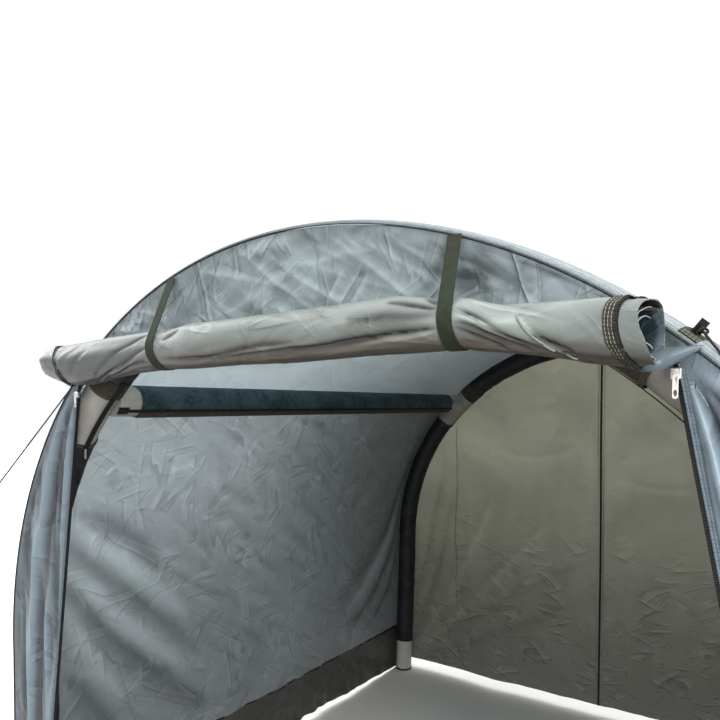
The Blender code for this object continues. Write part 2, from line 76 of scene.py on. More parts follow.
# End walls and doorway.
REAR_HEM = 0.050
REAR_ZIP_WIDTH = 0.026
REAR_ROWS = 130
REAR_COLUMNS = 74
GABLE_HEM = 1.790
GABLE_CORNER_REACH = 0.735
GABLE_CORNER_RISE = 0.66
GABLE_APEX = 1.742
GABLE_FREE = (1.850, 1.875)
DOOR_HALF_WIDTH = 1.0885
DOOR_TAPER = 0.1864
ZIP_TAPE_WIDTH = 0.024
ZIP_TOP = 1.726

# The rolled-up door, as x, axis height and radius along it, and its straps' tops and waists.
ROLL_WIDEST = 0.055
ROLL_PROFILE = (
    (-0.802, 1.797, 0.0350),
    (-0.775, 1.797, 0.0450),
    (-0.700, 1.789, 0.0545),
    (-0.620, 1.788, ROLL_WIDEST),
    (-0.500, 1.799, 0.0500),
    (-0.400, 1.804, 0.0460),
    (-0.200, 1.809, 0.0510),
    (0.000, 1.808, 0.0510),
    (0.200, 1.807, 0.0510),
    (0.350, 1.810, 0.0520),
    (0.530, 1.790, 0.0355),
    (0.600, 1.784, 0.0390),
    (0.690, 1.774, 0.0465),
    (0.755, 1.764, 0.0465),
)
ROLL_ROUND = 0.05
LAP_FADE = 0.022
STRAP_TOPS = ((-0.346, 1.985), (0.421, 1.965))
STRAP_WAISTS = ((-0.300, 1.806, 0.0445), (0.455, 1.803, 0.0415))
STRAP_SEAT = 0.016
STRAP_WIDTH = 0.027
STRAP_THICKNESS = 0.0016
STRAP_END_HEIGHT = 1.86

# Guy lines.
GUY_ANGLE = 49.5
LINE_RADIUS = 0.002
GUY_KNOT_SIZE = 0.0036

# Cloth: its thickness, how far inside the tent's ends it lies, how far its folds may stand off, and how deep
# they are where their shade is full.
CLOTH = 0.0008
END_INSET = 0.0015
GABLE_BULGE = (-0.014, 0.018)
GABLE_HEM_BULGE = (-0.004, 0.0)
WING_BULGE = (-0.014, 0.020)
SLEEVE_BULGE = (-0.0011, 0.0028)
BRACE_BULGE = (-0.0008, 0.0026)
REAR_BULGE = (-0.018, 0.018)
ROLL_BULGE = (-0.010, 0.0045)
SKIN_FOLD_DEPTH = 0.0120
GABLE_FOLD_DEPTH = 0.0040
WING_FOLD_DEPTH = 0.0080
REAR_FOLD_DEPTH = 0.0085
ROLL_FOLD_DEPTH = 0.0042

# Trims.
TAPE_THICKNESS = 0.0012
THIN_TAPE = 0.0009
LAP = 0.004
LAP_LIFT = 0.0009
SKIRT_TAPE_WIDTH = 0.008
ZIP_BACK = 0.0030
ZIP_COIL_PLACE = 0.0038
ZIP_COIL_LIFT = 0.0012
ZIP_COIL_STEP = 0.0032
ZIP_HEM = (0.0070, 0.0160)
ZIP_HEM_LIFT = 0.0026
WING_REACH = 0.010
REAR_SEAM_X = 0.855
REAR_SEAM_TOP = 1.57
REAR_SEAM_WIDTH = 0.004
REAR_SEAM_LIFT = 0.0014
REAR_STRIP_WIDTH = 0.010
REAR_COIL_LIFT = 0.0022
REAR_COIL_STEP = 0.0042
SHOULDER_WEBBING_WIDTH = 0.015
SHOULDER_WEBBING_TURN = 5.0
SHOULDER_WEBBING_OVERLAP = 0.085
CUFF_WIDTH = 0.012
CROWN_FLAP_LENGTH = 0.055
GUY_PATCH_WIDTH = 0.030
ROLL_LAYER_DEPTH = 0.036
DOOR_COIL_WIDTH = 0.0048
ROLL_COIL_WIDTH = 0.0050
ROLL_COIL_GAP = 0.0024

# The roll's own ends, as insets from its surface and depths along it: the mouth's lip and the closed end.
ROLL_LIP = ((0.0010, -0.0006), (0.0016, 0.0), (0.0020, 0.006), (0.0030, 0.03), (0.009, 0.085))
ROLL_END = ((0.030, 0.010), (0.018, 0.008), (0.006, 0.002), (0.0018, 0.0005))

# The roll's zip bands: end, place along x, slant, lowest turn in degrees, and width.
ROLL_BANDS = (
    ("right", 1, 0.7265, -0.023, 165.0, 0.0145),
    ("left", -1, -0.725, 0.042, 220.0, 0.0080),
)

# The roll's inner layers: first and last turn in degrees, radius, how much it shrinks, how far it reaches
# past the mouth, and whether it has a pale edge.
ROLL_LAYERS = (
    (75.0, 268.0, 0.0400, 0.003, -0.0060, True),
    (-95.0, 62.0, 0.0415, 0.001, -0.0015, False),
    (60.0, 300.0, 0.0290, 0.010, -0.0090, True),
)

# The door's hem on the roll, as turns in degrees and places along x.
DOOR_HEM_TURNS = (154.0, 186.0, 211.0, 234.0, 246.0)
DOOR_HEM_PLACES = (0.570, 0.587, 0.605, 0.630, 0.650)

# The gable's corner: the way its hem faces, the hem's path, and the top of the gusset above it.
GABLE_CORNER_FACE = (0.0, -0.3, 1.0)
GABLE_CORNER_PATH = (
    (0.738, -1.306, 1.7185),
    (0.752, -1.318, 1.7185),
    (0.768, -1.310, 1.7220),
    (0.783, -1.284, 1.7320),
    (0.802, -1.2475, 1.7460),
)
GABLE_GUSSET_TOP = ((0.700, -1.2470, 1.7500), (0.808, -1.2465, 1.7500))

# Feet and pulls. A small pull's parts are given by size and drop, a pull plate's slots by drop and length.
FOOT_RADIUS = 0.0508
FOOT_BEVEL = 0.0025
SMALL_PULL_PARTS = (((0.006, 0.005, 0.009), 0.0), ((0.0016, 0.0062, 0.021), 0.0150))
SMALL_PULL_BEVEL = 0.0007
PULL_CORNER = 0.0034
PULL_SLOTS = ((0.0045, 0.0060), (0.0285, 0.0095))
PULL_SLOT_RADIUS = 0.0024

# What repeats on the tent's ends and sides.
ARCHES = (("front", -BEAM_Y), ("rear", BEAM_Y))
ENDS = (("front", -1), ("rear", 1))
SIDES = (("left", -1), ("right", 1))
ACROSS = (1.0, 0.0, 0.0)
FORWARDS = (0.0, -1.0, 0.0)

# Mesh work: metres and degrees.
MERGE_DISTANCE = 1e-5
SHARP_RIM = 50.0
SMOOTH_EDGE = 40.0

# The camera: turn, tilt and roll in degrees, place in metres, lens and shift.
CAMERA_TURNS = (35.874, -2.649, -0.440)
CAMERA_PLACE = (0.939, -2.245, 1.665)
CAMERA_LENS = 31.79
CAMERA_SHIFT = 0.109

# The studio: the floor's height, the surroundings' brightness overhead, the heights between which they grow
# to it, those between which the ground's light gives way, and the lights: name, place, aim, size, power and
# colour.
FLOOR_LEVEL = -0.0012
SKY_OVERHEAD = 2.4
SKY_RISE = (0.1, 1.0)
GROUND_EDGE = (-0.16, -0.10)
GROUND_LIGHT = (0.12, 0.098, 0.080)
STUDIO_LIGHTS = (
    ("right_key", (3.2, -3.6, 2.3), (-0.6, -0.6, 1.3), 1.2, 120.0, (1.0, 0.99, 0.97)),
    ("left_side", (-6.0, -1.0, 4.5), (-1.2, 0.0, 1.2), 3.0, 90.0, (1.0, 1.0, 1.0)),
)


class Arch:
    """Tables of the arches' centreline. girth is the length along it, from the right foot to the left one."""

    leg = np.linspace(0.0, 1.0, 160, endpoint=False)
    turn = np.linspace(0.0, math.pi, 1201)
    right_x = FOOT_HALF_WIDTH + (ARCH_HALF_WIDTH - FOOT_HALF_WIDTH) * leg
    x = np.concatenate([right_x, ARCH_HALF_WIDTH * np.cos(turn), -right_x[::-1]])
    top = SPRING_HEIGHT + (ARCH_TOP - SPRING_HEIGHT) * np.sin(turn)
    z = np.concatenate([SPRING_HEIGHT * leg, top, SPRING_HEIGHT * leg[::-1]])
    girth = np.concatenate([[0.0], np.cumsum(np.hypot(np.diff(x), np.diff(z)))])
    angle = np.concatenate([leg - 1.0, np.degrees(turn), 181.0 - leg[::-1]])
    length = girth[-1]


def smooth_normals():
    """The arch's outward normals, eased where the legs meet the curve."""
    out_x = np.gradient(Arch.z, Arch.girth)
    out_z = -np.gradient(Arch.x, Arch.girth)
    reach = 20
    kernel = np.ones(2 * reach + 1) / (2 * reach + 1)
    out_x = np.convolve(np.pad(out_x, reach, "edge"), kernel, "valid")
    out_z = np.convolve(np.pad(out_z, reach, "edge"), kernel, "valid")
    size = np.hypot(out_x, out_z)
    return out_x / size, out_z / size


Arch.out_x, Arch.out_z = smooth_normals()


def arch(girth, offset=0.0):
    """(x, z) on the arch, moved outwards by offset."""
    x = np.interp(girth, Arch.girth, Arch.x) + offset * np.interp(girth, Arch.girth, Arch.out_x)
    z = np.interp(girth, Arch.girth, Arch.z) + offset * np.interp(girth, Arch.girth, Arch.out_z)
    return x, z


def girth_at_angle(angle):
    """The girth at an angle on the arch's curved top, in degrees from the right."""
    return float(np.interp(angle, Arch.angle, Arch.girth))


def girth_at_height(height, offset=0.0):
    """The girth, on the right, at which the arch's offset line reaches a height."""
    half = len(Arch.girth) // 2
    return float(np.interp(height, (Arch.z + offset * Arch.out_z)[:half], Arch.girth[:half]))


BRACE_GIRTH = girth_at_angle(BRACE_ANGLE)
SKIRT_GIRTH = girth_at_height(SKIRT_HEIGHT)


def ease(value, low, high):
    """0 below low, 1 above high, with a smooth rise between."""
    share = np.clip((value - low) / (high - low), 0.0, 1.0)
    return share * share * (3.0 - 2.0 * share)


def ripples(u, v, wavelength, seed, angle=0.0, stretch=1.0, waves=14):
    """Smooth random relief, about 1 high, over a sheet's own coordinates, drawn out along an angle."""
    draw = np.random.default_rng(seed)
    turn = math.radians(angle)
    along = (u * math.cos(turn) + v * math.sin(turn)) / stretch
    across = v * math.cos(turn) - u * math.sin(turn)
    total = np.zeros_like(u)
    for _ in range(waves):
        way = draw.uniform(0.0, 2 * math.pi)
        rate = 2 * math.pi / (wavelength * draw.uniform(0.6, 1.6))
        phase = draw.uniform(0.0, 2 * math.pi)
        total += np.cos(rate * (math.cos(way) * along + math.sin(way) * across) + phase)
    return total / math.sqrt(waves / 2)


def creases(u, v, seed, count, length, width, angle=None, spread=30.0):
    """Straight folding marks, about 1 high, that fade out at both ends. Half of them are valleys."""
    draw = np.random.default_rng(seed)
    total = np.zeros_like(u)
    for _ in range(count):
        centre_u = draw.uniform(u.min(), u.max())
        centre_v = draw.uniform(v.min(), v.max())
        turn = draw.uniform(0.0, math.pi) if angle is None else math.radians(draw.normal(angle, spread))
        reach = length * draw.uniform(0.4, 1.5)
        wide = width * draw.uniform(0.6, 1.5)
        height = draw.choice((-1.0, 1.0)) * draw.uniform(0.3, 1.0)
        along = (u - centre_u) * math.cos(turn) + (v - centre_v) * math.sin(turn)
        across = (v - centre_v) * math.cos(turn) - (u - centre_u) * math.sin(turn)
        near = (np.abs(along) < 2 * reach) & (np.abs(across) < 5 * wide)
        fade = np.exp(-((along[near] / reach) ** 2) - np.abs(across[near]) / wide)
        total[near] += height * fade
    return total


def rounded(points):
    """A line of points with its corners cut, twice over."""
    points = np.asarray(points, dtype=float)
    for _ in range(2):
        near = points[:-1] * 0.75 + points[1:] * 0.25
        far = points[:-1] * 0.25 + points[1:] * 0.75
        middle = np.stack([near, far], axis=1).reshape(-1, points.shape[1])
        points = np.concatenate([points[:1], middle, points[-1:]])
    return points


def nearest_on(u, v, points):
    """How far each place on a sheet is from a line, where along it, from 0 to 1, and on which side of it."""
    points = rounded(points)
    steps = np.hypot(*np.diff(points, axis=0).T)
    away = np.full_like(u, np.inf)
    share = np.zeros_like(u)
    side = np.zeros_like(u)
    run = 0.0
    for (from_u, from_v), (to_u, to_v), length in zip(points, points[1:], steps):
        way_u, way_v = to_u - from_u, to_v - from_v
        along = np.clip(((u - from_u) * way_u + (v - from_v) * way_v) / length**2, 0.0, 1.0)
        away_u, away_v = u - from_u - along * way_u, v - from_v - along * way_v
        distance = np.hypot(away_u, away_v)
        nearer = distance < away
        away = np.where(nearer, distance, away)
        share = np.where(nearer, (run + along * length) / steps.sum(), share)
        side = np.where(nearer, np.sign(away_u * way_v - away_v * way_u), side)
        run += length
    return away, share, side


def thinned(share):
    """1 halfway along a line and 0 at both its ends."""
    return np.sqrt(np.clip(4.0 * share * (1.0 - share), 0.0, 1.0))


def fold(u, v, points, width, height, crisp=False):
    """One fold along a line of points over a sheet, which thins out at both ends."""
    away, share, _ = nearest_on(u, v, points)
    thin = thinned(share)
    side = away / (width * (0.35 + 0.65 * thin))
    return height * thin * np.exp(-side if crisp else -side * side)


def lap(u, v, points, height):
    """A layer's edge along a line: a step down across it, which fades out to both sides."""
    away, share, side = nearest_on(u, v, points)
    return 0.5 * height * thinned(share) * side * np.exp(-away / LAP_FADE)


def folds(u, v, courses):
    """All the folds of a list: each one's points, half-width, height and whether it is crisp."""
    total = np.zeros_like(u)
    for course in courses:
        total += fold(u, v, *course)
    return total


def joined(*parts):
    """Coordinates, each a whole grid or a part of one, as one grid of points."""
    return np.stack(np.broadcast_arrays(*parts), axis=-1)


def crossed(rows, columns):
    """Every pair of a row's and a column's value, as one grid."""
    return joined(*np.meshgrid(rows, columns, indexing="ij"))


def select_only(*pieces):
    """Deselects everything but these pieces, the first of which becomes the active one."""
    for other in bpy.context.selected_objects:
        other.select_set(False)
    for piece in reversed(pieces):
        piece.select_set(True)
        bpy.context.view_layer.objects.active = piece


def apply_modifiers(piece):
    """Applies them all, and leaves the piece selected and active."""
    select_only(piece)
    for modifier in list(piece.modifiers):
        bpy.ops.object.modifier_apply(modifier=modifier.name)


def make_piece(name, points, faces, material, chart=None, shade=None, under=None):
    """A mesh from its points and faces. chart holds each point's flat coordinates in metres, for the UV map.

    shade is -1 in the deepest folds and 1 along the brightest ridges: it paints shade into the folds and a
    highlight onto the ridges. under is 1 where the cloth faces the ground, and paints shade there, tinted
    brown like light from the ground."""
    mesh = bpy.data.meshes.new(name)
    mesh.from_pydata(np.asarray(points).reshape(-1, 3).tolist(), [], list(faces))
    if chart is not None:
        corners = np.empty(len(mesh.loops), dtype=np.int32)
        mesh.loops.foreach_get("vertex_index", corners)
        flat = mesh.uv_layers.new(name="flat")
        flat.data.foreach_set("uv", np.asarray(chart).reshape(-1, 2)[corners].ravel())
    # The fold and under values carry painted shade and painted highlight into the cloth's colour.
    for key, values in (("fold", shade), ("under", under)):
        if values is not None:
            held = mesh.attributes.new(key, "FLOAT", "POINT")
            held.data.foreach_set("value", np.clip(values, -1.0, 1.0).ravel())
    mesh.materials.append(material)
    mesh.shade_smooth()
    piece = bpy.data.objects.new(name, mesh)
    bpy.context.scene.collection.objects.link(piece)
    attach(piece, "tent")
    return piece


def merge_doubles(piece, outwards=False):
    """Merges points that lie together and, where asked, turns the faces outwards."""
    builder = bmesh.new()
    builder.from_mesh(piece.data)
    bmesh.ops.remove_doubles(builder, verts=builder.verts, dist=MERGE_DISTANCE)
    if outwards:
        bmesh.ops.recalc_face_normals(builder, faces=builder.faces)
    builder.to_mesh(piece.data)
    builder.free()


def tidy_shell(piece):
    """Merges pinched edges, turns the faces outwards and keeps rims crisp."""
    merge_doubles(piece, outwards=True)
    piece.data.set_sharp_from_angle(angle=math.radians(SHARP_RIM))


def grid_faces(rows, columns, around=False):
    """The faces of a grid of points. around joins the last column to the first."""
    index = np.arange(rows * columns).reshape(rows, columns)
    if around:
        index = np.hstack([index, index[:, :1]])
    return joined(index[:-1, :-1], index[1:, :-1], index[1:, 1:], index[:-1, 1:]).reshape(-1, 4)


def closed_faces(rows, columns):
    """The faces of rows of rings, with a cap at both ends."""
    faces = grid_faces(rows, columns, around=True).tolist()
    return [*faces, list(range(columns)), list(range((rows - 1) * columns, rows * columns))]


def make_sheet(name, grid, chart, material, thickness=CLOTH, shade=None):
    """A cloth from a grid of points and its flat coordinates, closed to its thickness."""
    rows, columns = grid.shape[:2]
    piece = make_piece(name, grid, grid_faces(rows, columns), material, chart, shade=shade)
    merge_doubles(piece)
    wall = piece.modifiers.new("cloth", "SOLIDIFY")
    wall.thickness = thickness
    wall.offset = 0.0
    apply_modifiers(piece)
    tidy_shell(piece)
    return piece


def path_length(path):
    """The length along a line up to each of its points."""
    steps = np.linalg.norm(np.diff(path, axis=0), axis=1)
    return np.concatenate([[0.0], np.cumsum(steps)])


def resample(path, spacing):
    """The same line with evenly spaced points."""
    path = np.asarray(path, dtype=float)
    far = path_length(path)
    places = np.linspace(0.0, far[-1], max(2, round(far[-1] / spacing) + 1))
    return np.stack([np.interp(places, far, path[:, axis]) for axis in range(3)], axis=1)


def unit(vectors):
    """The vectors, each made 1 long."""
    return vectors / np.linalg.norm(vectors, axis=-1, keepdims=True)


def make_band(name, path, across, width, material, thickness=STRAP_THICKNESS, columns=5, bow=0.0):
    """A flat tape or strap along a path. width, one for all or one a point, runs along the across vectors."""
    path = np.asarray(path)
    width = np.broadcast_to(np.asarray(width, dtype=float), (len(path),))
    across = unit(np.broadcast_to(np.asarray(across, dtype=float), path.shape))
    along = unit(np.gradient(path, axis=0))
    out = unit(np.cross(along, across))
    share = np.linspace(-0.5, 0.5, columns)
    grid = path[:, None] + across[:, None] * (width[:, None] * share)[..., None]
    grid = grid + out[:, None] * (bow * (1 - 4 * share**2))[None, :, None]
    return make_sheet(name, grid, crossed(path_length(path), share * width.max()), material, thickness)


def make_tube(name, path, radius, material, sides):
    """A round bar or cord along a path."""
    path = np.asarray(path, dtype=float)
    along = unit(np.gradient(path, axis=0))
    side = np.cross(along[0], (0.0, 0.0, 1.0))
    if np.linalg.norm(side) < 0.1:
        side = np.cross(along[0], (0.0, 1.0, 0.0))
    sides_at = []
    for way in along:
        side = side - way * side.dot(way)
        side = side / np.linalg.norm(side)
        sides_at.append(side)
    first = np.array(sides_at)
    second = np.cross(along, first)
    turn = np.linspace(0.0, 2 * math.pi, sides, endpoint=False)
    ring = np.cos(turn)[None, :, None] * first[:, None] + np.sin(turn)[None, :, None] * second[:, None]
    grid = path[:, None] + ring * radius
    chart = crossed(path_length(path), turn * radius)
    tube = make_piece(name, grid, closed_faces(len(path), sides), material, chart)
    tidy_shell(tube)
    return tube


class Socket:
    """One output in a material, so that shader maths reads as plain arithmetic."""

    def __init__(self, paint, output):
        self.paint = paint
        self.output = output

    def math(self, operation, *others):
        values = {index: value for index, value in enumerate((self, *others))}
        return self.paint.add("ShaderNodeMath", {"operation": operation}, values)

    def __add__(self, other):
        return self.math("ADD", other)

    def __sub__(self, other):
        return self.math("SUBTRACT", other)

    def __mul__(self, other):
        return self.math("MULTIPLY", other)

    def __truediv__(self, other):
        return self.math("DIVIDE", other)

    def __rsub__(self, other):
        return self.paint.add("ShaderNodeMath", {"operation": "SUBTRACT"}, {0: other, 1: self})

    def __abs__(self):
        return self.math("ABSOLUTE")

    __radd__ = __add__
    __rmul__ = __mul__


class Paint:
    """The nodes of a material, or of the surroundings, under construction."""

    def __init__(self, owner):
        self.owner = bpy.data.materials.new(owner) if isinstance(owner, str) else owner
        self.owner.use_nodes = True
        self.tree = self.owner.node_tree
        self.tree.nodes.clear()

    def add(self, kind, settings=None, sockets=None, output=0):
        """A node of a kind, with its settings, then the values or links of its sockets."""
        node = self.tree.nodes.new(kind)
        for name, value in (settings or {}).items():
            if name == "stops":
                while len(node.color_ramp.elements) < len(value):
                    node.color_ramp.elements.new(0.5)
                for stop, (place, colour) in zip(node.color_ramp.elements, value):
                    stop.position = place
                    stop.color = (*colour, 1.0)
            else:
                setattr(node, name, value)
        for key, value in (sockets or {}).items():
            if isinstance(value, Socket):
                self.tree.links.new(value.output, node.inputs[key])
            else:
                node.inputs[key].default_value = value
        return Socket(self, node.outputs[output])

    def noise(self, place, scale, detail=2.0, roughness=0.5, distortion=0.0):
        sockets = {"Vector": place, "Scale": scale, "Detail": detail}
        sockets |= {"Roughness": roughness, "Distortion": distortion}
        return self.add("ShaderNodeTexNoise", {}, sockets)

    def ridges(self, place, scale, detail=2.0, distortion=0.0):
        """Thin branching lines at 1 on a ground that falls to 0."""
        return 1.0 - abs(self.noise(place, scale, detail, 0.5, distortion) * 2.0 - 1.0)

    def mix(self, share, first, second, way="MIX"):
        """Two colours mixed: the first where share is 0, the second where it is 1."""
        first, second = ((*tone, 1.0) if isinstance(tone, tuple) else tone for tone in (first, second))
        settings = {"data_type": "RGBA", "blend_type": way}
        return self.add("ShaderNodeMix", settings, {0: share, 6: first, 7: second}, output=2)

    def ramp(self, share, low, high):
        """share, stretched so that low becomes 0 and high 1, and held there."""
        sockets = {"Value": share, "From Min": low, "From Max": high}
        return self.add("ShaderNodeMapRange", {"interpolation_type": "SMOOTHSTEP"}, sockets)

    def flat(self):
        """A sheet's own coordinates, in metres."""
        return self.add("ShaderNodeUVMap", {"uv_map": "flat"})

    def stated(self, key):
        """A value that a piece's points hold: its fold or under. It is 0 where none is stated."""
        return self.add("ShaderNodeAttribute", {"attribute_name": key}, output=2)

    def crinkles(self, place, turns, long=2.2, close=14.0):
        """Short straight creases, 1 high and some millimetres wide, and painted light and shade on either
        side of them, one side lighter, the other darker.
        """
        lines = 0.0
        flank_shading = 0.0
        for number, turn in enumerate(turns):
            sockets = {"Vector": place, "Location": (1.7 * number, 0.9 * number, 3.1 * number)}
            sockets |= {"Rotation": (0.0, 0.0, math.radians(turn)), "Scale": (1.0 / long, 1.0 / close, 1.0)}
            along = self.add("ShaderNodeMapping", {"vector_type": "TEXTURE"}, sockets)
            side = self.noise(along, 1.0, 1.0) * 2.0 - 1.0
            line = (1.0 - abs(side)).math("POWER", 28.0)
            line = line * self.ramp(self.noise(place, 2.0 * long + 1.1 + 0.6 * number, 0.0), 0.53, 0.62)
            lines = line + lines
            # Painted light on one side of each crease and painted shade on the other.
            flank_shading = side * line * 70.0 + flank_shading
        return lines, flank_shading

    def object_place(self):
        return self.add("ShaderNodeTexCoord", output=3)

    def split(self, vector):
        node = self.tree.nodes.new("ShaderNodeSeparateXYZ")
        self.tree.links.new(vector.output, node.inputs[0])
        return [Socket(self, output) for output in node.outputs]

    def weave(self, place, threads, height):
        """Crossed threads. threads is how fast they follow each other, in radians a metre."""
        u, v, _ = self.split(place)
        return (u * threads).math("SINE") * (v * threads).math("SINE") * height

    def bump(self, height):
        """height is in metres."""
        return self.add("ShaderNodeBump", {}, {"Strength": 1.0, "Distance": 1.0, "Height": height})

    def coat(self, colour, roughness, relief, others=None):
        sockets = {"Base Color": colour, "Roughness": roughness, "Normal": relief} | (others or {})
        return self.add("ShaderNodeBsdfPrincipled", {}, sockets)

    def surface(self, shader, kind="ShaderNodeOutputMaterial"):
        out = self.tree.nodes.new(kind)
        self.tree.links.new(shader.output, out.inputs["Surface"])
        return self.owner


def shaded(colour, share):
    """A colour made darker or lighter, within what a cloth can reflect."""
    return tuple(min(0.98, part * share) for part in colour)


def cloth_paint(
    name, colour, through_colour, through, roughness=0.42, crumple=1.0, dimmed=None, depth=0.30, shadow=None,
    ridge_highlight=None, under=None, ends=None, end_shade_colour=None, lower=None, turns=(12.0, 57.0, 101.0, 149.0),
):
    """Satin coated polyester: woven, finely creased, and lit a little from behind.

    through is the share of the light from behind. dimmed gives the heights between which that light grows to
    its full share, and what is left of it at the rear. depth is how much the folds' painted shade and
    highlight change the colour; shadow and ridge, where given, are painted colours: shade in their valleys
    and a highlight on their ridges. under is what the colour of the undersides is multiplied by, as painted
    shade tinted brown like light from the ground. ends gives, along x, how much of the cloth shows its own
    colour instead of end_shade_colour, a painted shade. lower is how crumpled the cloth is near the ground,
    and turns, in degrees, the ways in which its small creases run."""
    paint = Paint(name)
    place = paint.flat()
    mottle = paint.noise(place, 5.0, 4.0, 0.6)
    small = paint.ridges(place, 23.0, 2.0, 0.8)
    patches = paint.ramp(paint.noise(place, 2.6, 2.0), 0.35, 0.65)
    marks, flank_shading = paint.crinkles(place, turns)
    finer, finer_flank_shading = paint.crinkles(place, [turn + 21.0 for turn in turns[:3]], 5.0, 34.0)
    if lower:
        upward = paint.split(paint.object_place())[2]
        crumple = lower + (crumple - lower) * paint.ramp(upward, 0.35, 1.25)
    height = small.math("POWER", 6.0) * 0.0005 * (0.25 + patches) + marks * 0.0014 + finer * 0.0006
    relief = paint.bump(height * crumple + paint.weave(place, 2600.0, 0.00002))
    # Painted shade in the folds and painted highlight on the ridges, from each piece's fold values.
    share = 0.5 + paint.stated("fold") * 0.5 + (mottle - 0.5) * 0.24
    # The creases' sides paint light and shade into the colour.
    share = share + (flank_shading * 0.24 + finer_flank_shading * 0.14) * crumple
    share = share.math("MAXIMUM", 0.0).math("MINIMUM", 1.0)
    tone = paint.mix(share, shadow or shaded(colour, 1.0 - depth), ridge_highlight or shaded(colour, 1.0 + depth))
    # Painted shade on the undersides, multiplied in and tinted brown like light from the ground.
    if under:
        tone = paint.mix(paint.stated("under"), tone, under, "MULTIPLY")
    # Painted shade: along x the cloth turns towards end_shade_colour, darkening the roll's ends.
    if ends:
        stops = [((x + 1.0) / 2.0, (kept, kept, kept)) for x, kept in ends]
        across = paint.split(paint.object_place())[0]
        kept = paint.add("ShaderNodeValToRGB", {"stops": stops}, {0: (across + 1.0) / 2.0})
        tone = paint.mix(kept, end_shade_colour, tone)
    coat = paint.coat(tone, roughness + (mottle - 0.5) * 0.16, relief)
    # The light from behind gets the same painted shade and highlight.
    lit = paint.mix(share, shaded(through_colour, 1.0 - depth / 2), shaded(through_colour, 1.0 + depth / 2))
    behind = paint.add("ShaderNodeBsdfTranslucent", {}, {"Color": lit, "Normal": relief})
    if dimmed:
        low, high, rear_share = dimmed
        _, backward, upward = paint.split(paint.object_place())
        through = through * (0.2 + 0.8 * paint.ramp(upward, low, high))
        through = through * (1.0 - (1.0 - rear_share) * paint.ramp(backward, -0.9, 1.0))
    return paint.surface(paint.add("ShaderNodeMixShader", {}, {0: through, 1: coat, 2: behind}))


def sleeve_paint(name, dark, light, roughness=0.6):
    """A heavier woven sleeve, rubbed lighter along its creases."""
    paint = Paint(name)
    place = paint.flat()
    mottle = paint.noise(place, 9.0, 4.0, 0.6)
    small = paint.ridges(place, 34.0, 2.0, 0.6)
    relief = paint.bump(small.math("POWER", 5.0) * 0.0007 + paint.weave(place, 1500.0, 0.00004))
    tone = paint.mix(paint.ramp(mottle + small.math("POWER", 8.0) * 0.2, 0.35, 0.8), dark, light)
    rough = roughness + (mottle - 0.5) * 0.2
    return paint.surface(paint.coat(tone, rough, relief, {"Specular IOR Level": 0.3}))


def film_paint(name, colour):
    """The bladders' translucent film."""
    paint = Paint(name)
    place = paint.flat()
    mottle = paint.noise(place, 12.0, 3.0)
    small = paint.ridges(place, 40.0, 2.0, 0.4).math("POWER", 6.0)
    tone = paint.mix(paint.ramp(mottle, 0.3, 0.7), shaded(colour, 0.8), colour)
    coat = paint.coat(tone, 0.34 + mottle * 0.1, paint.bump(small * 0.0004))
    behind = paint.add("ShaderNodeBsdfTranslucent", {}, {"Color": (*colour, 1.0)})
    return paint.surface(paint.add("ShaderNodeMixShader", {}, {0: 0.3, 1: coat, 2: behind}))


def webbing_paint(name, dark, light, stitch_rows=(), stitch_colour=None, rib=0.0022):
    """Woven webbing or tape, ribbed across, with rows of stitches at given places over its width."""
    paint = Paint(name)
    place = paint.flat()
    u, v, _ = paint.split(place)
    ribs = (u * (2 * math.pi / rib)).math("SINE")
    twill = ((u + v * 2.0) * (math.pi / rib)).math("SINE")
    wear = paint.noise(place, 60.0, 3.0, 0.6)
    height = ribs * 0.00012 + twill * 0.00006
    tone = paint.mix(paint.ramp(wear + ribs * 0.12, 0.3, 0.75), dark, light)
    for row in stitch_rows:
        near = abs(v - row).math("LESS_THAN", 0.0005)
        run = (u / 0.006).math("FRACT").math("LESS_THAN", 0.74)
        tone = paint.mix(near * run, tone, stitch_colour)
        height = height + near * run * 0.0004
    coat = paint.coat(tone, 0.62 + wear * 0.2, paint.bump(height), {"Specular IOR Level": 0.2})
    return paint.surface(coat)


def solid_paint(name, dark, light, roughness, metallic=0.0, grain=90.0, depth=0.0001):
    """Rubber, moulded plastic or plated metal, with a grain and wear."""
    paint = Paint(name)
    place = paint.object_place()
    wear = paint.noise(place, grain, 4.0, 0.6)
    broad = paint.noise(place, grain / 8, 2.0)
    tone = paint.mix(paint.ramp(broad + (wear - 0.5) * 0.4, 0.3, 0.7), dark, light)
    rough = roughness + (wear - 0.5) * 0.25
    return paint.surface(paint.coat(tone, rough, paint.bump(wear * depth), {"Metallic": metallic}))


SATIN = cloth_paint("satin_polyester", (0.222, 0.266, 0.283), (0.68, 0.76, 0.78), 0.26, 0.34, 1.4, depth=0.50)
# The wings' cloth, painted darker than the gable's as shade; its ridge colour is a painted highlight.
WING_SATIN = cloth_paint(
    "wing_satin", (0.117, 0.146, 0.172), (0.62, 0.71, 0.78), 0.12, 0.38, 0.6,
    shadow=(0.045, 0.055, 0.065), ridge_highlight=(0.255, 0.335, 0.395),
)
ROOF_SATIN = cloth_paint(
    "roof_satin", (0.30, 0.335, 0.35), (0.76, 0.82, 0.84), 0.60, crumple=0.5, dimmed=(0.0, 0.1, 0.42),
)
WALL_SATIN = cloth_paint(
    "wall_satin", (0.215, 0.245, 0.262), (0.75, 0.80, 0.83), 0.52, 0.36, 0.9, (0.05, 1.5, 0.23), depth=0.42,
)
SKIRT_SATIN = cloth_paint("skirt_satin", (0.050, 0.049, 0.045), (0.5, 0.5, 0.48), 0.05)
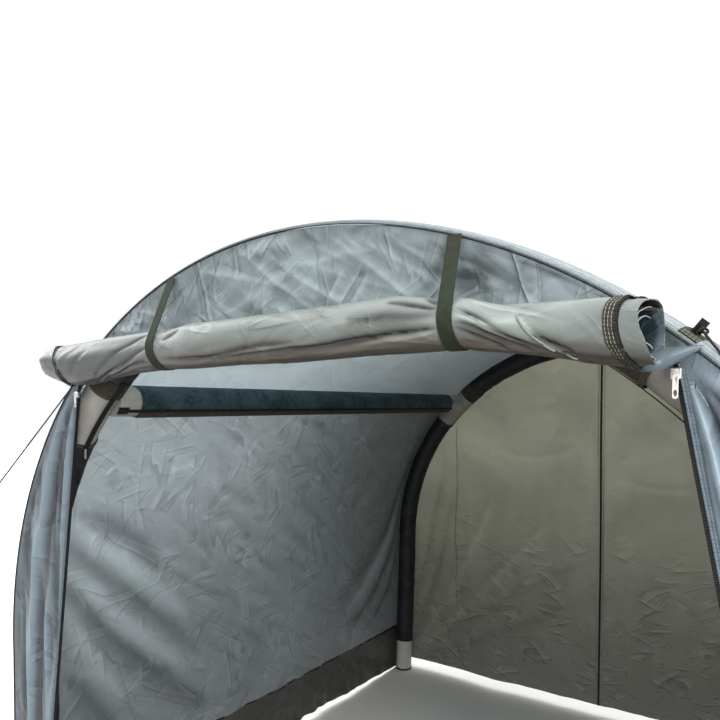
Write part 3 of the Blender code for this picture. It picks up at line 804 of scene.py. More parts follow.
# The rolled door: its shadow colour paints shade into the folds, under paints shade on the underside, tinted
# brown like light from the ground, and end_shade_colour paints shade over both ends.
DOOR_SATIN = cloth_paint(
    "door_satin", (0.322, 0.368, 0.352), (0.5, 0.48, 0.45), 0.05, 0.36, 0.5, depth=0.22,
    shadow=(0.034, 0.036, 0.033), under=(0.52, 0.39, 0.31), end_shade_colour=(0.046, 0.058, 0.060),
    ends=((-0.80, 0.12), (-0.55, 0.18), (-0.32, 0.62), (-0.22, 1.0), (0.62, 1.0), (0.72, 0.60)),
    turns=(4.0, 28.0, 152.0),
)
REAR_SATIN = cloth_paint(
    "rear_wall_satin", (0.215, 0.228, 0.205), (0.80, 0.81, 0.71), 0.56, 0.42, 0.3, (-0.2, 1.8, 1.0),
    lower=1.7, turns=(8.0, 32.0, -12.0),
)
SHADED_SATIN = cloth_paint(
    "shaded_satin", (0.115, 0.155, 0.187), (0.45, 0.50, 0.54), 0.08, shadow=(0.012, 0.022, 0.030),
)
PALE_SATIN = cloth_paint("pale_satin", (0.32, 0.36, 0.38), (0.55, 0.58, 0.58), 0.15)
BLACK_SLEEVE = sleeve_paint("black_sleeve", (0.004, 0.005, 0.006), (0.022, 0.025, 0.027))
TEAL_SLEEVE = sleeve_paint("teal_sleeve", (0.015, 0.037, 0.048), (0.056, 0.106, 0.128))
FILM = film_paint("beam_film", (0.72, 0.70, 0.66))
OLIVE = webbing_paint("olive_webbing", (0.012, 0.017, 0.009), (0.026, 0.034, 0.019))
BLACK_TAPE = webbing_paint("black_tape", (0.005, 0.005, 0.006), (0.018, 0.018, 0.020), rib=0.0012)
OLIVE_TAPE = webbing_paint(
    "olive_zip_tape", (0.018, 0.019, 0.014), (0.045, 0.047, 0.035),
    (-0.0046, 0.0, 0.0046), (0.36, 0.34, 0.26), 0.0012,
)
BAND = webbing_paint(
    "roof_band", (0.26, 0.30, 0.32), (0.38, 0.43, 0.45), (-0.006, 0.006), (0.10, 0.125, 0.14), 0.0009,
)
HEM = webbing_paint(
    "stitched_hem", (0.085, 0.112, 0.140), (0.15, 0.19, 0.225), (-0.0023, 0.0023), (0.27, 0.33, 0.37), 0.0009,
)
PIPING = webbing_paint("seam_piping", (0.040, 0.046, 0.052), (0.085, 0.095, 0.105), rib=0.0015)
PALE_EDGE = webbing_paint("pale_edge", (0.38, 0.39, 0.37), (0.55, 0.56, 0.52), rib=0.0011)
BLACK_WEBBING = webbing_paint("black_webbing", (0.004, 0.005, 0.004), (0.014, 0.015, 0.013), rib=0.0024)
CUFF = webbing_paint(
    "sleeve_cuff", (0.05, 0.043, 0.035), (0.11, 0.095, 0.08), (-0.003, 0.003), (0.24, 0.215, 0.175), 0.0012,
)
CUFF_PLAIN = webbing_paint("sleeve_flap", (0.050, 0.043, 0.038), (0.100, 0.088, 0.078), rib=0.0012)
COIL = solid_paint("zip_coil", (0.004, 0.004, 0.004), (0.014, 0.014, 0.014), 0.5)
RUBBER = solid_paint("foot_rubber", (0.012, 0.012, 0.012), (0.045, 0.045, 0.043), 0.6, 0.0, 60.0, 0.0004)
METAL = solid_paint("plated_zinc", (0.60, 0.59, 0.56), (0.80, 0.79, 0.76), 0.34, 0.85, 60.0, 0.00001)
PEG_METAL = solid_paint("galvanised_steel", (0.38, 0.39, 0.40), (0.62, 0.63, 0.64), 0.42, 1.0, 120.0, 0.0001)
CORD_PAINT = webbing_paint("braided_cord", (0.008, 0.008, 0.008), (0.035, 0.035, 0.034), rib=0.003)


def slack(y):
    """1 midway between the arches and 0 at them."""
    return np.maximum(0.0, 1.0 - (y / BEAM_Y) ** 2)


def canopy_base(girth, y):
    """How far the skin lies outside the arch's centreline: it sags between the beams, and turns down past."""
    right = np.minimum(girth, Arch.length - girth)
    crown = Arch.length / 2
    roof = ROOF_SAG * np.sin(math.pi / 2 * np.clip((right - BRACE_GIRTH) / (crown - BRACE_GIRTH), 0.0, 1.0))
    wall = WALL_SAG * np.sin(math.pi * np.clip(right / BRACE_GIRTH, 0.0, 1.0))
    past = np.clip((np.abs(y) - BEAM_Y) / (HALF_DEPTH - BEAM_Y), 0.0, 1.0)
    turned = SEAM_OFFSET + (CANOPY_CROWN - SEAM_OFFSET) * np.sqrt(1.0 - past**2)
    return np.where(past > 0.0, turned, CANOPY_CROWN - (roof + wall) * slack(y))


def canopy_rows(spacing):
    """Depths for a skin's rows, close together where it turns down over the beams."""
    middle = np.linspace(-BEAM_Y, BEAM_Y, round(2 * BEAM_Y / spacing) + 1)
    turn = (HALF_DEPTH - BEAM_Y) * np.sin(np.linspace(0.0, math.pi / 2, 9)[1:])
    return np.concatenate([-BEAM_Y - turn[::-1], middle, BEAM_Y + turn])


def keep_off_beams(offset, girth, y):
    """Holds a skin outside the arches' and braces' sleeves."""
    away_y = np.minimum(np.abs(np.abs(y) - BEAM_Y), SLEEVE_RADIUS)
    over_beam = np.sqrt(SLEEVE_RADIUS**2 - away_y**2) + 0.0025
    right = np.minimum(girth, Arch.length - girth)
    away_girth = np.minimum(np.abs(right - BRACE_GIRTH), BRACE_SLEEVE_RADIUS)
    over_brace = np.sqrt(BRACE_SLEEVE_RADIUS**2 - away_girth**2) + BRACE_LIFT + 0.0016
    over_brace = np.where(np.abs(y) < BEAM_Y, over_brace, 0.0)
    past = np.abs(y) > BEAM_Y
    floor = np.maximum(np.where(past, 0.0, over_beam), over_brace)
    return np.maximum(offset, floor)


# Folds, traced on each cloth: a line of points in the cloth's own coordinates, half-width, height (negative
# for a valley), and whether it is crisp.
LEFT_WALL_FOLDS = (
    (((4.036, -1.056), (4.094, -0.949), (4.159, -0.832), (4.312, -0.679)), 0.040, -0.012),
    (((4.30, -0.69), (4.415, -0.513), (4.484, -0.399), (4.526, -0.257)), 0.012, -0.006, True),
    (((4.056, -1.08), (4.266, -0.864), (4.537, -0.548)), 0.045, 0.012),
    (((4.155, -1.077), (4.293, -0.924), (4.491, -0.711), (4.721, -0.491)), 0.034, -0.010),
    (((4.235, -1.077), (4.495, -0.857), (4.767, -0.548)), 0.042, 0.014),
    (((4.304, -1.056), (4.491, -0.946), (4.667, -0.789), (4.824, -0.633), (4.984, -0.428)), 0.045, -0.016),
    (((4.358, -1.084), (4.575, -0.988), (4.797, -0.839)), 0.045, 0.013),
    (((4.621, -1.063), (4.774, -0.988), (4.93, -0.86)), 0.040, -0.014),
    (((3.78, 1.10), (4.10, 1.09), (4.377, 1.0), (4.598, 0.697), (4.751, 0.456)), 0.050, -0.013),
    (((4.05, 1.12), (4.45, 1.06), (4.69, 0.80), (4.85, 0.54)), 0.034, 0.010),
    (((4.30, 1.12), (4.552, 1.02), (4.778, 0.814), (4.946, 0.584)), 0.034, -0.012),
    (((4.60, 1.10), (4.805, 1.0), (4.939, 0.85)), 0.028, -0.008),
    (((3.734, -1.084), (3.792, -1.009)), 0.008, -0.003, True),
    (((3.734, -0.591), (3.78, -0.396)), 0.009, -0.003, True),
    (((4.319, -0.2), (4.468, -0.027)), 0.010, -0.005, True),
    (((4.186, -0.846), (4.243, -0.832)), 0.008, 0.004, True),
    (((3.66, -0.20), (3.76, 0.15), (3.90, 0.40)), 0.020, -0.005),
    (((3.63, 0.35), (3.70, 0.75), (3.67, 1.05)), 0.014, -0.004),
)


def wall_relief(girth, y, seed, angle, courses=(), crisp=False):
    """A wall's folds in metres. crisp leaves out the broad ones, which don't change the cloth's shade."""
    marks = creases(girth, y, seed + 2, 260, 0.10, 0.0085) * 0.0040
    marks += creases(girth, y, seed + 3, 90, 0.16, 0.011, angle, 18.0) * 0.0046
    marks += 1.25 * folds(girth, y, courses)
    if crisp:
        return marks
    pull = ripples(girth, y, 0.13, seed, angle, 3.5) * 0.0026
    broad = ripples(girth, y, 0.5, seed + 1) * 0.006
    return (pull + broad) * slack(y) + marks


def roof_relief(girth, y, crisp=False):
    return wall_relief(girth, y, 11, 90.0, crisp=crisp)


def mirrored(courses):
    """The left wall's folds, on the right one."""
    return tuple((tuple((Arch.length - girth, y) for girth, y in points), *rest) for points, *rest in courses)


def left_wall_relief(girth, y, crisp=False):
    return wall_relief(girth, y, 21, 55.0, LEFT_WALL_FOLDS, crisp)


def right_wall_relief(girth, y, crisp=False):
    return wall_relief(girth, y, 31, 125.0, mirrored(LEFT_WALL_FOLDS[:12]), crisp)


def skirt_relief(girth, y):
    pull = ripples(girth, y, 0.09, 41, angle=0.0, stretch=3.0) * 0.004
    marks = creases(girth, y, 43, 60, 0.10, 0.012) * 0.003
    return pull * slack(y) + marks


def skin_offset(girth, y, relief):
    """How far a skin lies outside the arch's centreline, with its folds, clear of the beams."""
    offset = canopy_base(girth, y) + relief(girth, y) * (1.0 - ease(np.abs(y), BEAM_Y - 0.10, BEAM_Y + 0.01))
    return keep_off_beams(offset, girth, y)


def make_skin(name, start, end, spacing, relief, node, paint):
    """One stretch of the canopy's skin, from one girth to another. relief gives its folds in metres."""
    columns = np.linspace(start, end, round(abs(end - start) / spacing) + 1)
    girth, y = np.meshgrid(columns, canopy_rows(spacing), indexing="ij")
    offset = skin_offset(girth, y, relief)
    if paint == SKIRT_SATIN:
        right = np.minimum(girth, Arch.length - girth)
        loose = 1.0 - ease(right, 0.06, SKIRT_GIRTH - 0.02)
        offset = offset + LAP_LIFT + skirt_relief(girth, y) * loose
        lifted = right + HEM_LIFT * slack(y) * (1.0 - ease(right, 0.0, SKIRT_GIRTH * 0.6))
        girth = np.where(girth < Arch.length / 2, lifted, Arch.length - lifted)
    if name == "roof_skin":
        offset = offset + LAP_LIFT
    x, z = arch(girth, offset)
    # Painted shade in the folds and painted highlight on the ridges.
    shade = np.tanh(relief(girth, y, crisp=True) / SKIN_FOLD_DEPTH)
    skin = make_sheet(name, joined(x, y, z), joined(girth, y), paint, shade=shade)
    flat = (abs(end - start), 2 * HALF_DEPTH)
    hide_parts(node)
    return skin


def make_skirt_tapes():
    """A dark tape over each seam between a wall and its skirt, inside the tent."""
    y = np.linspace(-BEAM_Y + 0.03, BEAM_Y - 0.03, 190)
    seams = (("left", Arch.length - SKIRT_GIRTH, left_wall_relief), ("right", SKIRT_GIRTH, right_wall_relief))
    for label, seam, relief in seams:
        share = np.linspace(-0.5, 0.5, 3) * SKIRT_TAPE_WIDTH
        girth, rows = np.meshgrid(seam + share, y, indexing="ij")
        x, z = arch(girth, skin_offset(girth, rows, relief) - 0.0022)
        grid = joined(x, rows, z)
        tape = make_sheet(f"{label}_skirt_tape", grid, joined(rows, girth - seam), BLACK_TAPE, THIN_TAPE)


def make_canopy():
    left, brace, skirt = Arch.length, BRACE_GIRTH, SKIRT_GIRTH
    stretches = (
        ("roof_skin", brace - LAP, left - brace + LAP, 0.0170, roof_relief, "roof_panel", ROOF_SATIN),
        ("left_wall_skin", left - brace, left - skirt, 0.0120, left_wall_relief, "left_wall", WALL_SATIN),
        ("right_wall_skin", skirt, brace, 0.0185, right_wall_relief, "right_wall", WALL_SATIN),
        ("left_skirt_skin", left - skirt - LAP, left, 0.0140, left_wall_relief, "left_skirt", SKIRT_SATIN),
        ("right_skirt_skin", 0.0, skirt + LAP, 0.0140, right_wall_relief, "right_skirt", SKIRT_SATIN),
    )
    for stretch in stretches:
        make_skin(*stretch)


def beam_surface(girth, around, radius, beam_y):
    """Points round an arch's beam. around is 0 on its outer side and a quarter turn at its rear."""
    x, z = arch(girth, radius * np.cos(around))
    return joined(x, beam_y + radius * np.sin(around), z)


def inner_share(around):
    """0 on a beam's outer side and 1 on its inner side."""
    return (1.0 - np.cos(around)) / 2


def make_air_beam(name, beam_y, node):
    """An inflated bladder from foot to foot, slightly puckered."""
    foot = girth_at_height(PAD_HEIGHT + 0.0005)
    columns = np.linspace(foot, Arch.length - foot, 300)
    turn = np.linspace(0.0, 2 * math.pi, 28, endpoint=False)
    girth, around = np.meshgrid(columns, turn, indexing="ij")
    pucker = ripples(girth, np.cos(around) * 0.05, 0.05, 51, stretch=0.8) * 0.0004
    grid = beam_surface(girth, around, BLADDER_RADIUS + pucker, beam_y)
    faces = closed_faces(len(columns), len(turn))
    beam = make_piece(name, grid, faces, FILM, joined(girth, around * BLADDER_RADIUS))
    tidy_shell(beam)
    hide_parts(node)
    return beam


def make_sleeve(name, beam_y, start, end, seed, node):
    """A woven sleeve round one stretch of a beam, bunched into small folds."""
    columns = np.linspace(start, end, round((end - start) / 0.0095) + 1)
    turn = np.linspace(0.0, 2 * math.pi, 41)
    girth, around = np.meshgrid(columns, turn, indexing="ij")
    side = np.sin(around) * 0.05
    zigzag = np.abs(np.angle(np.exp(1j * (around - math.pi)))) * 0.05
    rings = ripples(girth + 0.45 * zigzag, side, 0.034, seed, stretch=0.5) * 0.0009
    soft = ripples(girth, np.cos(around) * 0.05, 0.11, seed + 1) * 0.0006
    marks = creases(girth, around * 0.05, seed + 2, int(70 * (end - start)), 0.035, 0.008) * 0.0016
    relief = np.clip(rings + soft + marks, *SLEEVE_BULGE) * (0.35 + 0.65 * inner_share(around))
    relief[:, -1] = relief[:, 0]
    grid = beam_surface(girth, around, SLEEVE_RADIUS + relief, beam_y)
    chart = joined(girth, around * SLEEVE_RADIUS)
    sleeve = make_sheet(name, grid, chart, BLACK_SLEEVE)
    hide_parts(node)
    return sleeve


def make_arches():
    foot = girth_at_height(SLEEVE_FOOT)
    shoulder = girth_at_angle(SHOULDER_ANGLE)
    crown = girth_at_angle(CROWN_ANGLE)
    spans = (
        ("right", foot, shoulder),
        ("top", crown, Arch.length - crown),
        ("left", Arch.length - shoulder, Arch.length - foot),
    )
    for number, (end, beam_y) in enumerate(ARCHES):
        beam = make_air_beam(f"{end}_arch", beam_y, f"{end}_arch_bladder")
        for step, (label, low, high) in enumerate(spans):
            seed = 60 + 10 * number + 3 * step
            node = f"{end}_{label}_sleeve"
            make_sleeve(f"{node}_cloth", beam_y, low, high, seed, node)


# Each trim: turn round the brace in degrees, width, material, lift, and ends along y, or the sleeve's own.
BRACE_TRIMS = (
    ("zip", 192.0, 0.0085, BLACK_WEBBING, 0.0036, None),
    ("zip_flap", 165.0, 0.0320, CUFF_PLAIN, 0.0028, None),
    ("tab", 190.0, 0.0250, BLACK_WEBBING, 0.0005, (-1.128, -1.092)),
    ("tab_strap", 190.0, 0.0110, BLACK_WEBBING, 0.0012, (-1.096, -1.045)),
    ("end_collar", 180.0, 0.20, PALE_SATIN, 0.0006, (0.985, 1.020)),
)


def make_braces():
    """The two shoulder braces, each a bladder with a zipped sleeve round its middle."""
    for label, angle in (("left", 180.0 - BRACE_ANGLE), ("right", BRACE_ANGLE)):
        girth = girth_at_angle(angle)
        centre = np.array(arch(girth, BRACE_LIFT))
        out = np.array((np.interp(girth, Arch.girth, Arch.out_x), np.interp(girth, Arch.girth, Arch.out_z)))
        lower = np.array((-out[1], out[0])) * (1.0 if label == "left" else -1.0)

        def place(y, around, radius):
            """around is 0 on the brace's outer side and a quarter turn on its lower side."""
            ring = np.cos(around)[..., None] * out + np.sin(around)[..., None] * lower
            spot = centre + np.asarray(radius)[..., None] * ring
            return joined(spot[..., 0], y, spot[..., 1])

        reach = BEAM_Y - BLADDER_RADIUS - 0.0005
        path = resample([(centre[0], -reach, centre[1]), (centre[0], reach, centre[1])], 0.02)
        bladder = make_tube(f"{label}_brace_air_beam", path, BRACE_BLADDER_RADIUS, FILM, 32)
        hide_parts(f"{label}_brace_bladder")

        low, high = BRACE_SLEEVE_ENDS
        columns = np.linspace(low, high, round((high - low) / 0.0125) + 1)
        y, around = np.meshgrid(columns, np.linspace(0.0, 2 * math.pi, 41), indexing="ij")
        soft = ripples(y, np.cos(around) * 0.05, 0.09, 91, stretch=2.0) * 0.0007
        slant = ripples(y + around * 0.03, around * 0.02, 0.035, 93, stretch=0.7) * 0.0005
        marks = creases(y, around * 0.05, 92, 150, 0.05, 0.005) * 0.0012
        relief = np.clip(soft + slant + marks, *BRACE_BULGE) * (0.2 + 0.8 * inner_share(around))
        relief[:, -1] = relief[:, 0]
        grid = place(y, around, BRACE_SLEEVE_RADIUS + relief)
        chart = joined(y, around * BRACE_SLEEVE_RADIUS)
        sleeve = make_sheet(f"{label}_brace_sleeve_cloth", grid, chart, TEAL_SLEEVE)
        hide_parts(f"{label}_brace_sleeve")

        for piece, middle, width, paint, lift, ends in BRACE_TRIMS:
            start, end = (low, high) if ends is None else ends
            rows = np.linspace(start, end, max(6, round((end - start) / 0.02)))
            turn = math.radians(middle) + np.linspace(-0.5, 0.5, 5) * width / BRACE_SLEEVE_RADIUS
            rows, turn = np.meshgrid(rows, turn, indexing="ij")
            grid = place(rows, turn, np.full(rows.shape, BRACE_SLEEVE_RADIUS + lift))
            chart = joined(rows, turn * BRACE_SLEEVE_RADIUS)
            trim = make_sheet(f"{label}_brace_{piece}", grid, chart, paint, 0.0011)


def door_edge(height):
    """The doorway's half-width at a height."""
    return DOOR_HALF_WIDTH - DOOR_TAPER * height


def gable_edges(count):
    """Matching points on the gable's hem and on its seam at the arch, from the right corner to the left."""
    corner = girth_at_height(GABLE_APEX, PANEL_OFFSET)
    seam_x, seam_z = arch(np.linspace(corner, Arch.length - corner, count), PANEL_OFFSET)
    corner_x, corner_z = seam_x[0], seam_z[0]
    hem = [(corner_x, corner_z), (GABLE_CORNER_REACH, GABLE_APEX), (GABLE_CORNER_RISE, GABLE_HEM)]
    hem += [(-x, z) for x, z in reversed(hem)]
    far = path_length(hem)
    places = np.linspace(0.0, far[-1], count)
    hem_x, hem_z = (np.interp(places, far, part) for part in np.transpose(hem))
    return (hem_x, hem_z), (seam_x, seam_z)


GABLE_FOLDS = (
    (((-0.26, 1.990), (-0.094, 1.953), (0.03, 1.918)), 0.010, 0.0042, True),
    (((0.02, 1.962), (0.132, 1.961), (0.25, 1.967)), 0.010, 0.0040, True),
    (((-0.13, 2.030), (0.0, 1.935), (0.11, 1.855)), 0.009, 0.0042, True),
    (((-0.03, 2.00), (0.08, 1.925), (0.19, 1.86)), 0.008, 0.0036, True),
    (((0.03, 1.948), (0.12, 1.900), (0.21, 1.860)), 0.008, 0.0036, True),
    (((0.13, 2.02), (0.24, 1.935), (0.34, 1.858)), 0.009, 0.0042, True),
    (((0.01, 1.932), (-0.09, 1.898), (-0.20, 1.872)), 0.009, 0.0038, True),
    (((0.20, 2.00), (0.309, 1.934), (0.42, 1.860)), 0.009, 0.0042, True),
    (((0.10, 1.963), (0.0, 1.935), (-0.06, 1.920)), 0.008, 0.0030, True),
    (((0.08, 2.008), (0.15, 1.970), (0.20, 1.940)), 0.008, 0.0036, True),
    (((0.14, 2.038), (0.19, 1.995), (0.22, 1.970)), 0.007, 0.0030, True),
    (((0.28, 1.990), (0.34, 1.945), (0.405, 1.90)), 0.008, 0.0034, True),
    (((-0.22, 1.938), (-0.18, 1.91), (-0.14, 1.876)), 0.008, 0.0030, True),
    (((0.43, 1.925), (0.49, 1.888), (0.56, 1.845)), 0.009, -0.0045, True),
    (((0.55, 1.910), (0.526, 1.868), (0.505, 1.830)), 0.008, -0.0040, True),
    (((0.60, 1.935), (0.64, 1.885), (0.70, 1.850)), 0.010, -0.0035, True),
    (((0.45, 1.940), (0.53, 1.905), (0.62, 1.862)), 0.007, -0.0035, True),
    (((0.36, 1.965), (0.42, 1.930), (0.47, 1.905)), 0.007, -0.0035, True),
    (((-0.55, 1.935), (-0.42, 1.905), (-0.36, 1.880)), 0.010, 0.0038, True),
    (((-0.62, 1.885), (-0.50, 1.865), (-0.40, 1.868)), 0.010, 0.0034, True),
    (((-0.30, 2.025), (-0.10, 2.012), (0.08, 2.030)), 0.016, 0.0040),
    (((0.47, 1.985), (0.60, 1.930), (0.72, 1.850)), 0.022, 0.0055),
)
GABLE_POCKET = (0.446, 1.884)


def gable_relief(x, z, up, crisp=False):
    """The gable's creases, which cross each other over its middle, and a hollow beside the right strap."""
    broad = ripples(x, z, 0.26, 101) * 0.0030
    pull = ripples(x, z, 0.09, 102, angle=-35.0, stretch=3.0) * 0.0020
    cross = ripples(x, z, 0.07, 104, angle=35.0, stretch=3.0) * 0.0014
    marks = creases(x, z, 103, 210, 0.07, 0.0048, -38.0, 16.0) * 0.0025
    marks += creases(x, z, 105, 120, 0.06, 0.0045, 30.0, 16.0) * 0.0021
    away = np.hypot((x - GABLE_POCKET[0]) / 0.036, (z - GABLE_POCKET[1]) / 0.018)
    pocket = -0.013 * np.exp(-(away**2))
    gathered = np.exp(-(((x - 0.53) / 0.11) ** 2) - (((z - 1.885) / 0.05) ** 2))
    pocket += ripples(x, z, 0.05, 107, angle=-38.0, stretch=3.5) * 0.0026 * gathered
    sharp = marks + pocket + folds(x, z, GABLE_FOLDS)
    total = sharp if crisp else broad + pull + cross + sharp
    return total * ease(up, 0.0, 0.10) * (1.0 - ease(up, 0.84, 1.0))


def make_gable():
    (hem_x, hem_z), (seam_x, seam_z) = gable_edges(420)
    up = np.linspace(0.0, 1.0, 54)
    x = hem_x[:, None] + (seam_x - hem_x)[:, None] * up
    z = hem_z[:, None] + (seam_z - hem_z)[:, None] * up
    bulge = gable_relief(x, z, np.broadcast_to(up, x.shape))
    behind_roll = 1.0 - ease(z, *GABLE_FREE)
    bulge = bulge + (np.clip(bulge, *GABLE_HEM_BULGE) - bulge) * behind_roll
    y = -HALF_DEPTH + END_INSET - np.clip(bulge, *GABLE_BULGE)
    # Painted shade in the folds and the hollow, and painted highlight on the ridges.
    shade = np.tanh(gable_relief(x, z, np.broadcast_to(up, x.shape), crisp=True) / GABLE_FOLD_DEPTH)
    gable = make_sheet("front_gable_cloth", joined(x, y, z), joined(x, z), SATIN, shade=shade)
    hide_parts("front_gable")


WING_FOLDS = (
    (
        ((0.789, 1.700), (0.805, 1.652), (0.821, 1.597), (0.835, 1.528), (0.860, 1.400), (0.885, 1.250)),
        0.0095, 0.013,
    ),
    (
        ((0.785, 1.708), (0.800, 1.688), (0.815, 1.663), (0.834, 1.612), (0.870, 1.490), (0.910, 1.300)),
        0.0070, -0.012, True,
    ),
    (((0.793, 1.701), (0.824, 1.677), (0.870, 1.600), (0.920, 1.480), (0.960, 1.300)), 0.0060, -0.009, True),
    (((0.796, 1.714), (0.833, 1.687), (0.880, 1.620), (0.935, 1.500), (0.985, 1.300)), 0.0150, 0.010),
    (((0.819, 1.562), (0.827, 1.527), (0.838, 1.480), (0.852, 1.400), (0.868, 1.250)), 0.0060, -0.009, True),
    (((0.900, 1.35), (0.925, 1.05), (0.945, 0.70), (0.96, 0.40)), 0.018, -0.012),
    (((0.945, 1.35), (0.980, 1.05), (1.010, 0.70), (1.03, 0.40)), 0.020, 0.012),
    (((1.000, 1.30), (1.040, 1.00), (1.075, 0.70), (1.09, 0.40)), 0.016, -0.010),
)


def make_wing(label, side):
    """The strip of front wall between the arch and a door zip, in long folds that fan out as they fall."""
    heights = np.linspace(0.0, GABLE_APEX - 0.002, 180)
    inner = door_edge(heights) + WING_REACH
    girths = np.array([girth_at_height(height, PANEL_OFFSET) for height in heights])
    outer = np.maximum(arch(girths, PANEL_OFFSET)[0], inner)
    share = np.linspace(0.0, 1.0, 44) ** 1.3
    x = inner[:, None] + (outer - inner)[:, None] * share
    z = np.broadcast_to(heights[:, None], x.shape)
    seed = 120 if side < 0 else 130
    drift = ripples(z, z * 0.0, 1.1, seed + 5) * 0.05
    hang = np.cos(2 * math.pi * (1.7 * share + drift)) * 0.0085
    hang = hang + np.cos(2 * math.pi * (3.6 * share - drift)) * 0.003
    hang = hang + ripples(x, z, 0.05, seed, angle=90.0, stretch=9.0) * 0.0022
    marks = creases(x, z, seed + 1, 60, 0.16, 0.007, 84.0, 12.0) * 0.0028
    marks += creases(x, z, seed + 2, 30, 0.05, 0.005) * 0.0018
    edges = ease(share, 0.015, 0.07) * (1.0 - ease(share, 0.85, 1.0))
    hang = hang * (1.0 - ease(z, 1.35, 1.65)) + folds(x, z, WING_FOLDS)
    bulge = (hang + marks) * edges * (1.0 - ease(z, 1.69, 1.733))
    grid = joined(side * x, -HALF_DEPTH + END_INSET - np.clip(bulge, *WING_BULGE), z)
    # Painted shade in the folds and painted highlight on the ridges, with more painted shade over the left
    # wing.
    shade = np.tanh(bulge / WING_FOLD_DEPTH) - (0.25 if side < 0 else 0.0)
    wing = make_sheet(f"front_{label}_wing_cloth", grid, joined(x, z), WING_SATIN, shade=shade)
    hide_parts(f"front_{label}_wing")


def make_coil(name, path, out, width):
    """A zip's coil: a row of small turns across an evenly stepped path. out points away from the tape."""
    path = np.asarray(path)
    along = unit(np.gradient(path, axis=0))
    out = unit(np.broadcast_to(np.asarray(out, dtype=float), path.shape))
    across = np.cross(along, out)
    length, height = 0.0018, 0.0015
    turn = np.radians((30, 90, 150, 210, 270, 330))
    ring = np.cos(turn)[None, :, None] * along[:, None] * length / 2
    ring = ring + np.sin(turn)[None, :, None] * out[:, None] * height / 2
    left = path[:, None] + ring - across[:, None] * width / 2
    right = path[:, None] + ring + across[:, None] * width / 2
    points = np.concatenate([left, right], axis=1)
    base = [[k, (k + 1) % 6, 6 + (k + 1) % 6, 6 + k] for k in range(6)]
    base += [[5, 4, 3, 2, 1, 0], [6, 7, 8, 9, 10, 11]]
    faces = [[12 * number + corner for corner in face] for number in range(len(path)) for face in base]
    coil = make_piece(name, points, faces, COIL)
    tidy_shell(coil)
    return coil


def make_door_zips():
    """Each door zip: its tape and coil, and the wing's stitched hem over the tape's outer side."""
    middle = ZIP_TAPE_WIDTH / 2
    for label, side in SIDES:
        low, high = ((side * (door_edge(z) + middle), -HALF_DEPTH + 0.001, z) for z in (0.0, ZIP_TOP))
        behind = resample([low, high], 0.012) + (0.0, ZIP_BACK, 0.0)
        tape = make_band(f"{label}_door_zip_tape", behind, ACROSS, ZIP_TAPE_WIDTH, BLACK_TAPE, TAPE_THICKNESS)
        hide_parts(f"{label}_door_zip")
        edge = resample([low, high], ZIP_COIL_STEP) + (side * (ZIP_COIL_PLACE - middle), ZIP_COIL_LIFT, 0.0)
        make_coil(f"{label}_door_zip_coil", edge, FORWARDS, DOOR_COIL_WIDTH)
        start, end = ZIP_HEM
        hem_path = resample([low, high], 0.02) + (side * ((start + end) / 2 - middle), -ZIP_HEM_LIFT, 0.0)
        hem = make_band(f"{label}_wing_hem", hem_path, ACROSS, end - start, HEM, 0.0010, bow=0.0008)


REAR_FOLDS = (
    (((-1.164, 0.067), (-0.571, 0.531), (-0.040, 0.856)), 0.018, -0.007),
    (((-1.149, 0.038), (-0.447, 0.405), (-0.02, 0.640)), 0.020, -0.007),
    (((-1.163, 0.166), (-0.972, 0.716), (-0.887, 1.101)), 0.022, -0.008),
    (((-1.163, 0.364), (-1.057, 0.801), (-0.928, 1.408)), 0.022, -0.007),
    (((-1.150, 0.10), (-0.70, 0.55), (-0.25, 1.05)), 0.020, 0.007),
    (((-1.150, 0.12), (-0.85, 0.62), (-0.60, 1.15)), 0.026, 0.007),
    (((-0.30, 0.690), (-0.02, 0.812)), 0.010, 0.004, True),
    (((0.02, 0.629), (0.297, 0.732), (0.520, 0.850)), 0.012, -0.005, True),
    (((0.02, 0.520), (0.205, 0.453), (0.520, 0.520)), 0.012, -0.005, True),
    (((0.180, 0.655), (0.321, 0.736), (0.520, 0.705)), 0.010, 0.004, True),
    (((1.150, 0.06), (0.80, 0.33), (0.45, 0.50)), 0.022, -0.007),
    (((1.155, 0.20), (0.99, 0.70), (0.90, 1.15)), 0.024, -0.007),
    (((0.06, 1.30), (0.30, 1.22), (0.55, 1.28)), 0.014, 0.004),
    (((-0.10, 1.45), (-0.35, 1.36), (-0.62, 1.42)), 0.016, 0.004),
)


def rear_relief(x, z, seed, crisp=False):
    """The rear wall's folds in metres. crisp leaves out the broad ones."""
    marks = creases(x, z, seed + 2, 190, 0.11, 0.0080) * 0.0030
    sharp = marks + folds(x, z, REAR_FOLDS)
    if crisp:
        return sharp
    broad = ripples(x, z, 0.5, seed) * 0.006
    pull = ripples(x, z, 0.12, seed + 1, angle=90.0, stretch=3.5) * 0.0020
    return broad + pull + sharp


def rear_edges(share):
    """1 over the rear wall, and 0 at its zip and its outer seam."""
    return ease(share, 0.0, 0.06) * (1.0 - ease(share, 0.90, 1.0))


def rear_outline():
    """The rear wall's half-width and height up along its edge, and the matching heights at its middle."""
    hem = girth_at_height(REAR_HEM, PANEL_OFFSET)
    top = float(np.interp(-REAR_ZIP_WIDTH / 2, -arch(Arch.girth, PANEL_OFFSET)[0], Arch.girth))
    outer_x, outer_z = arch(np.linspace(hem, top, REAR_ROWS), PANEL_OFFSET)
    return outer_x, outer_z, np.linspace(REAR_HEM, outer_z[-1], REAR_ROWS)


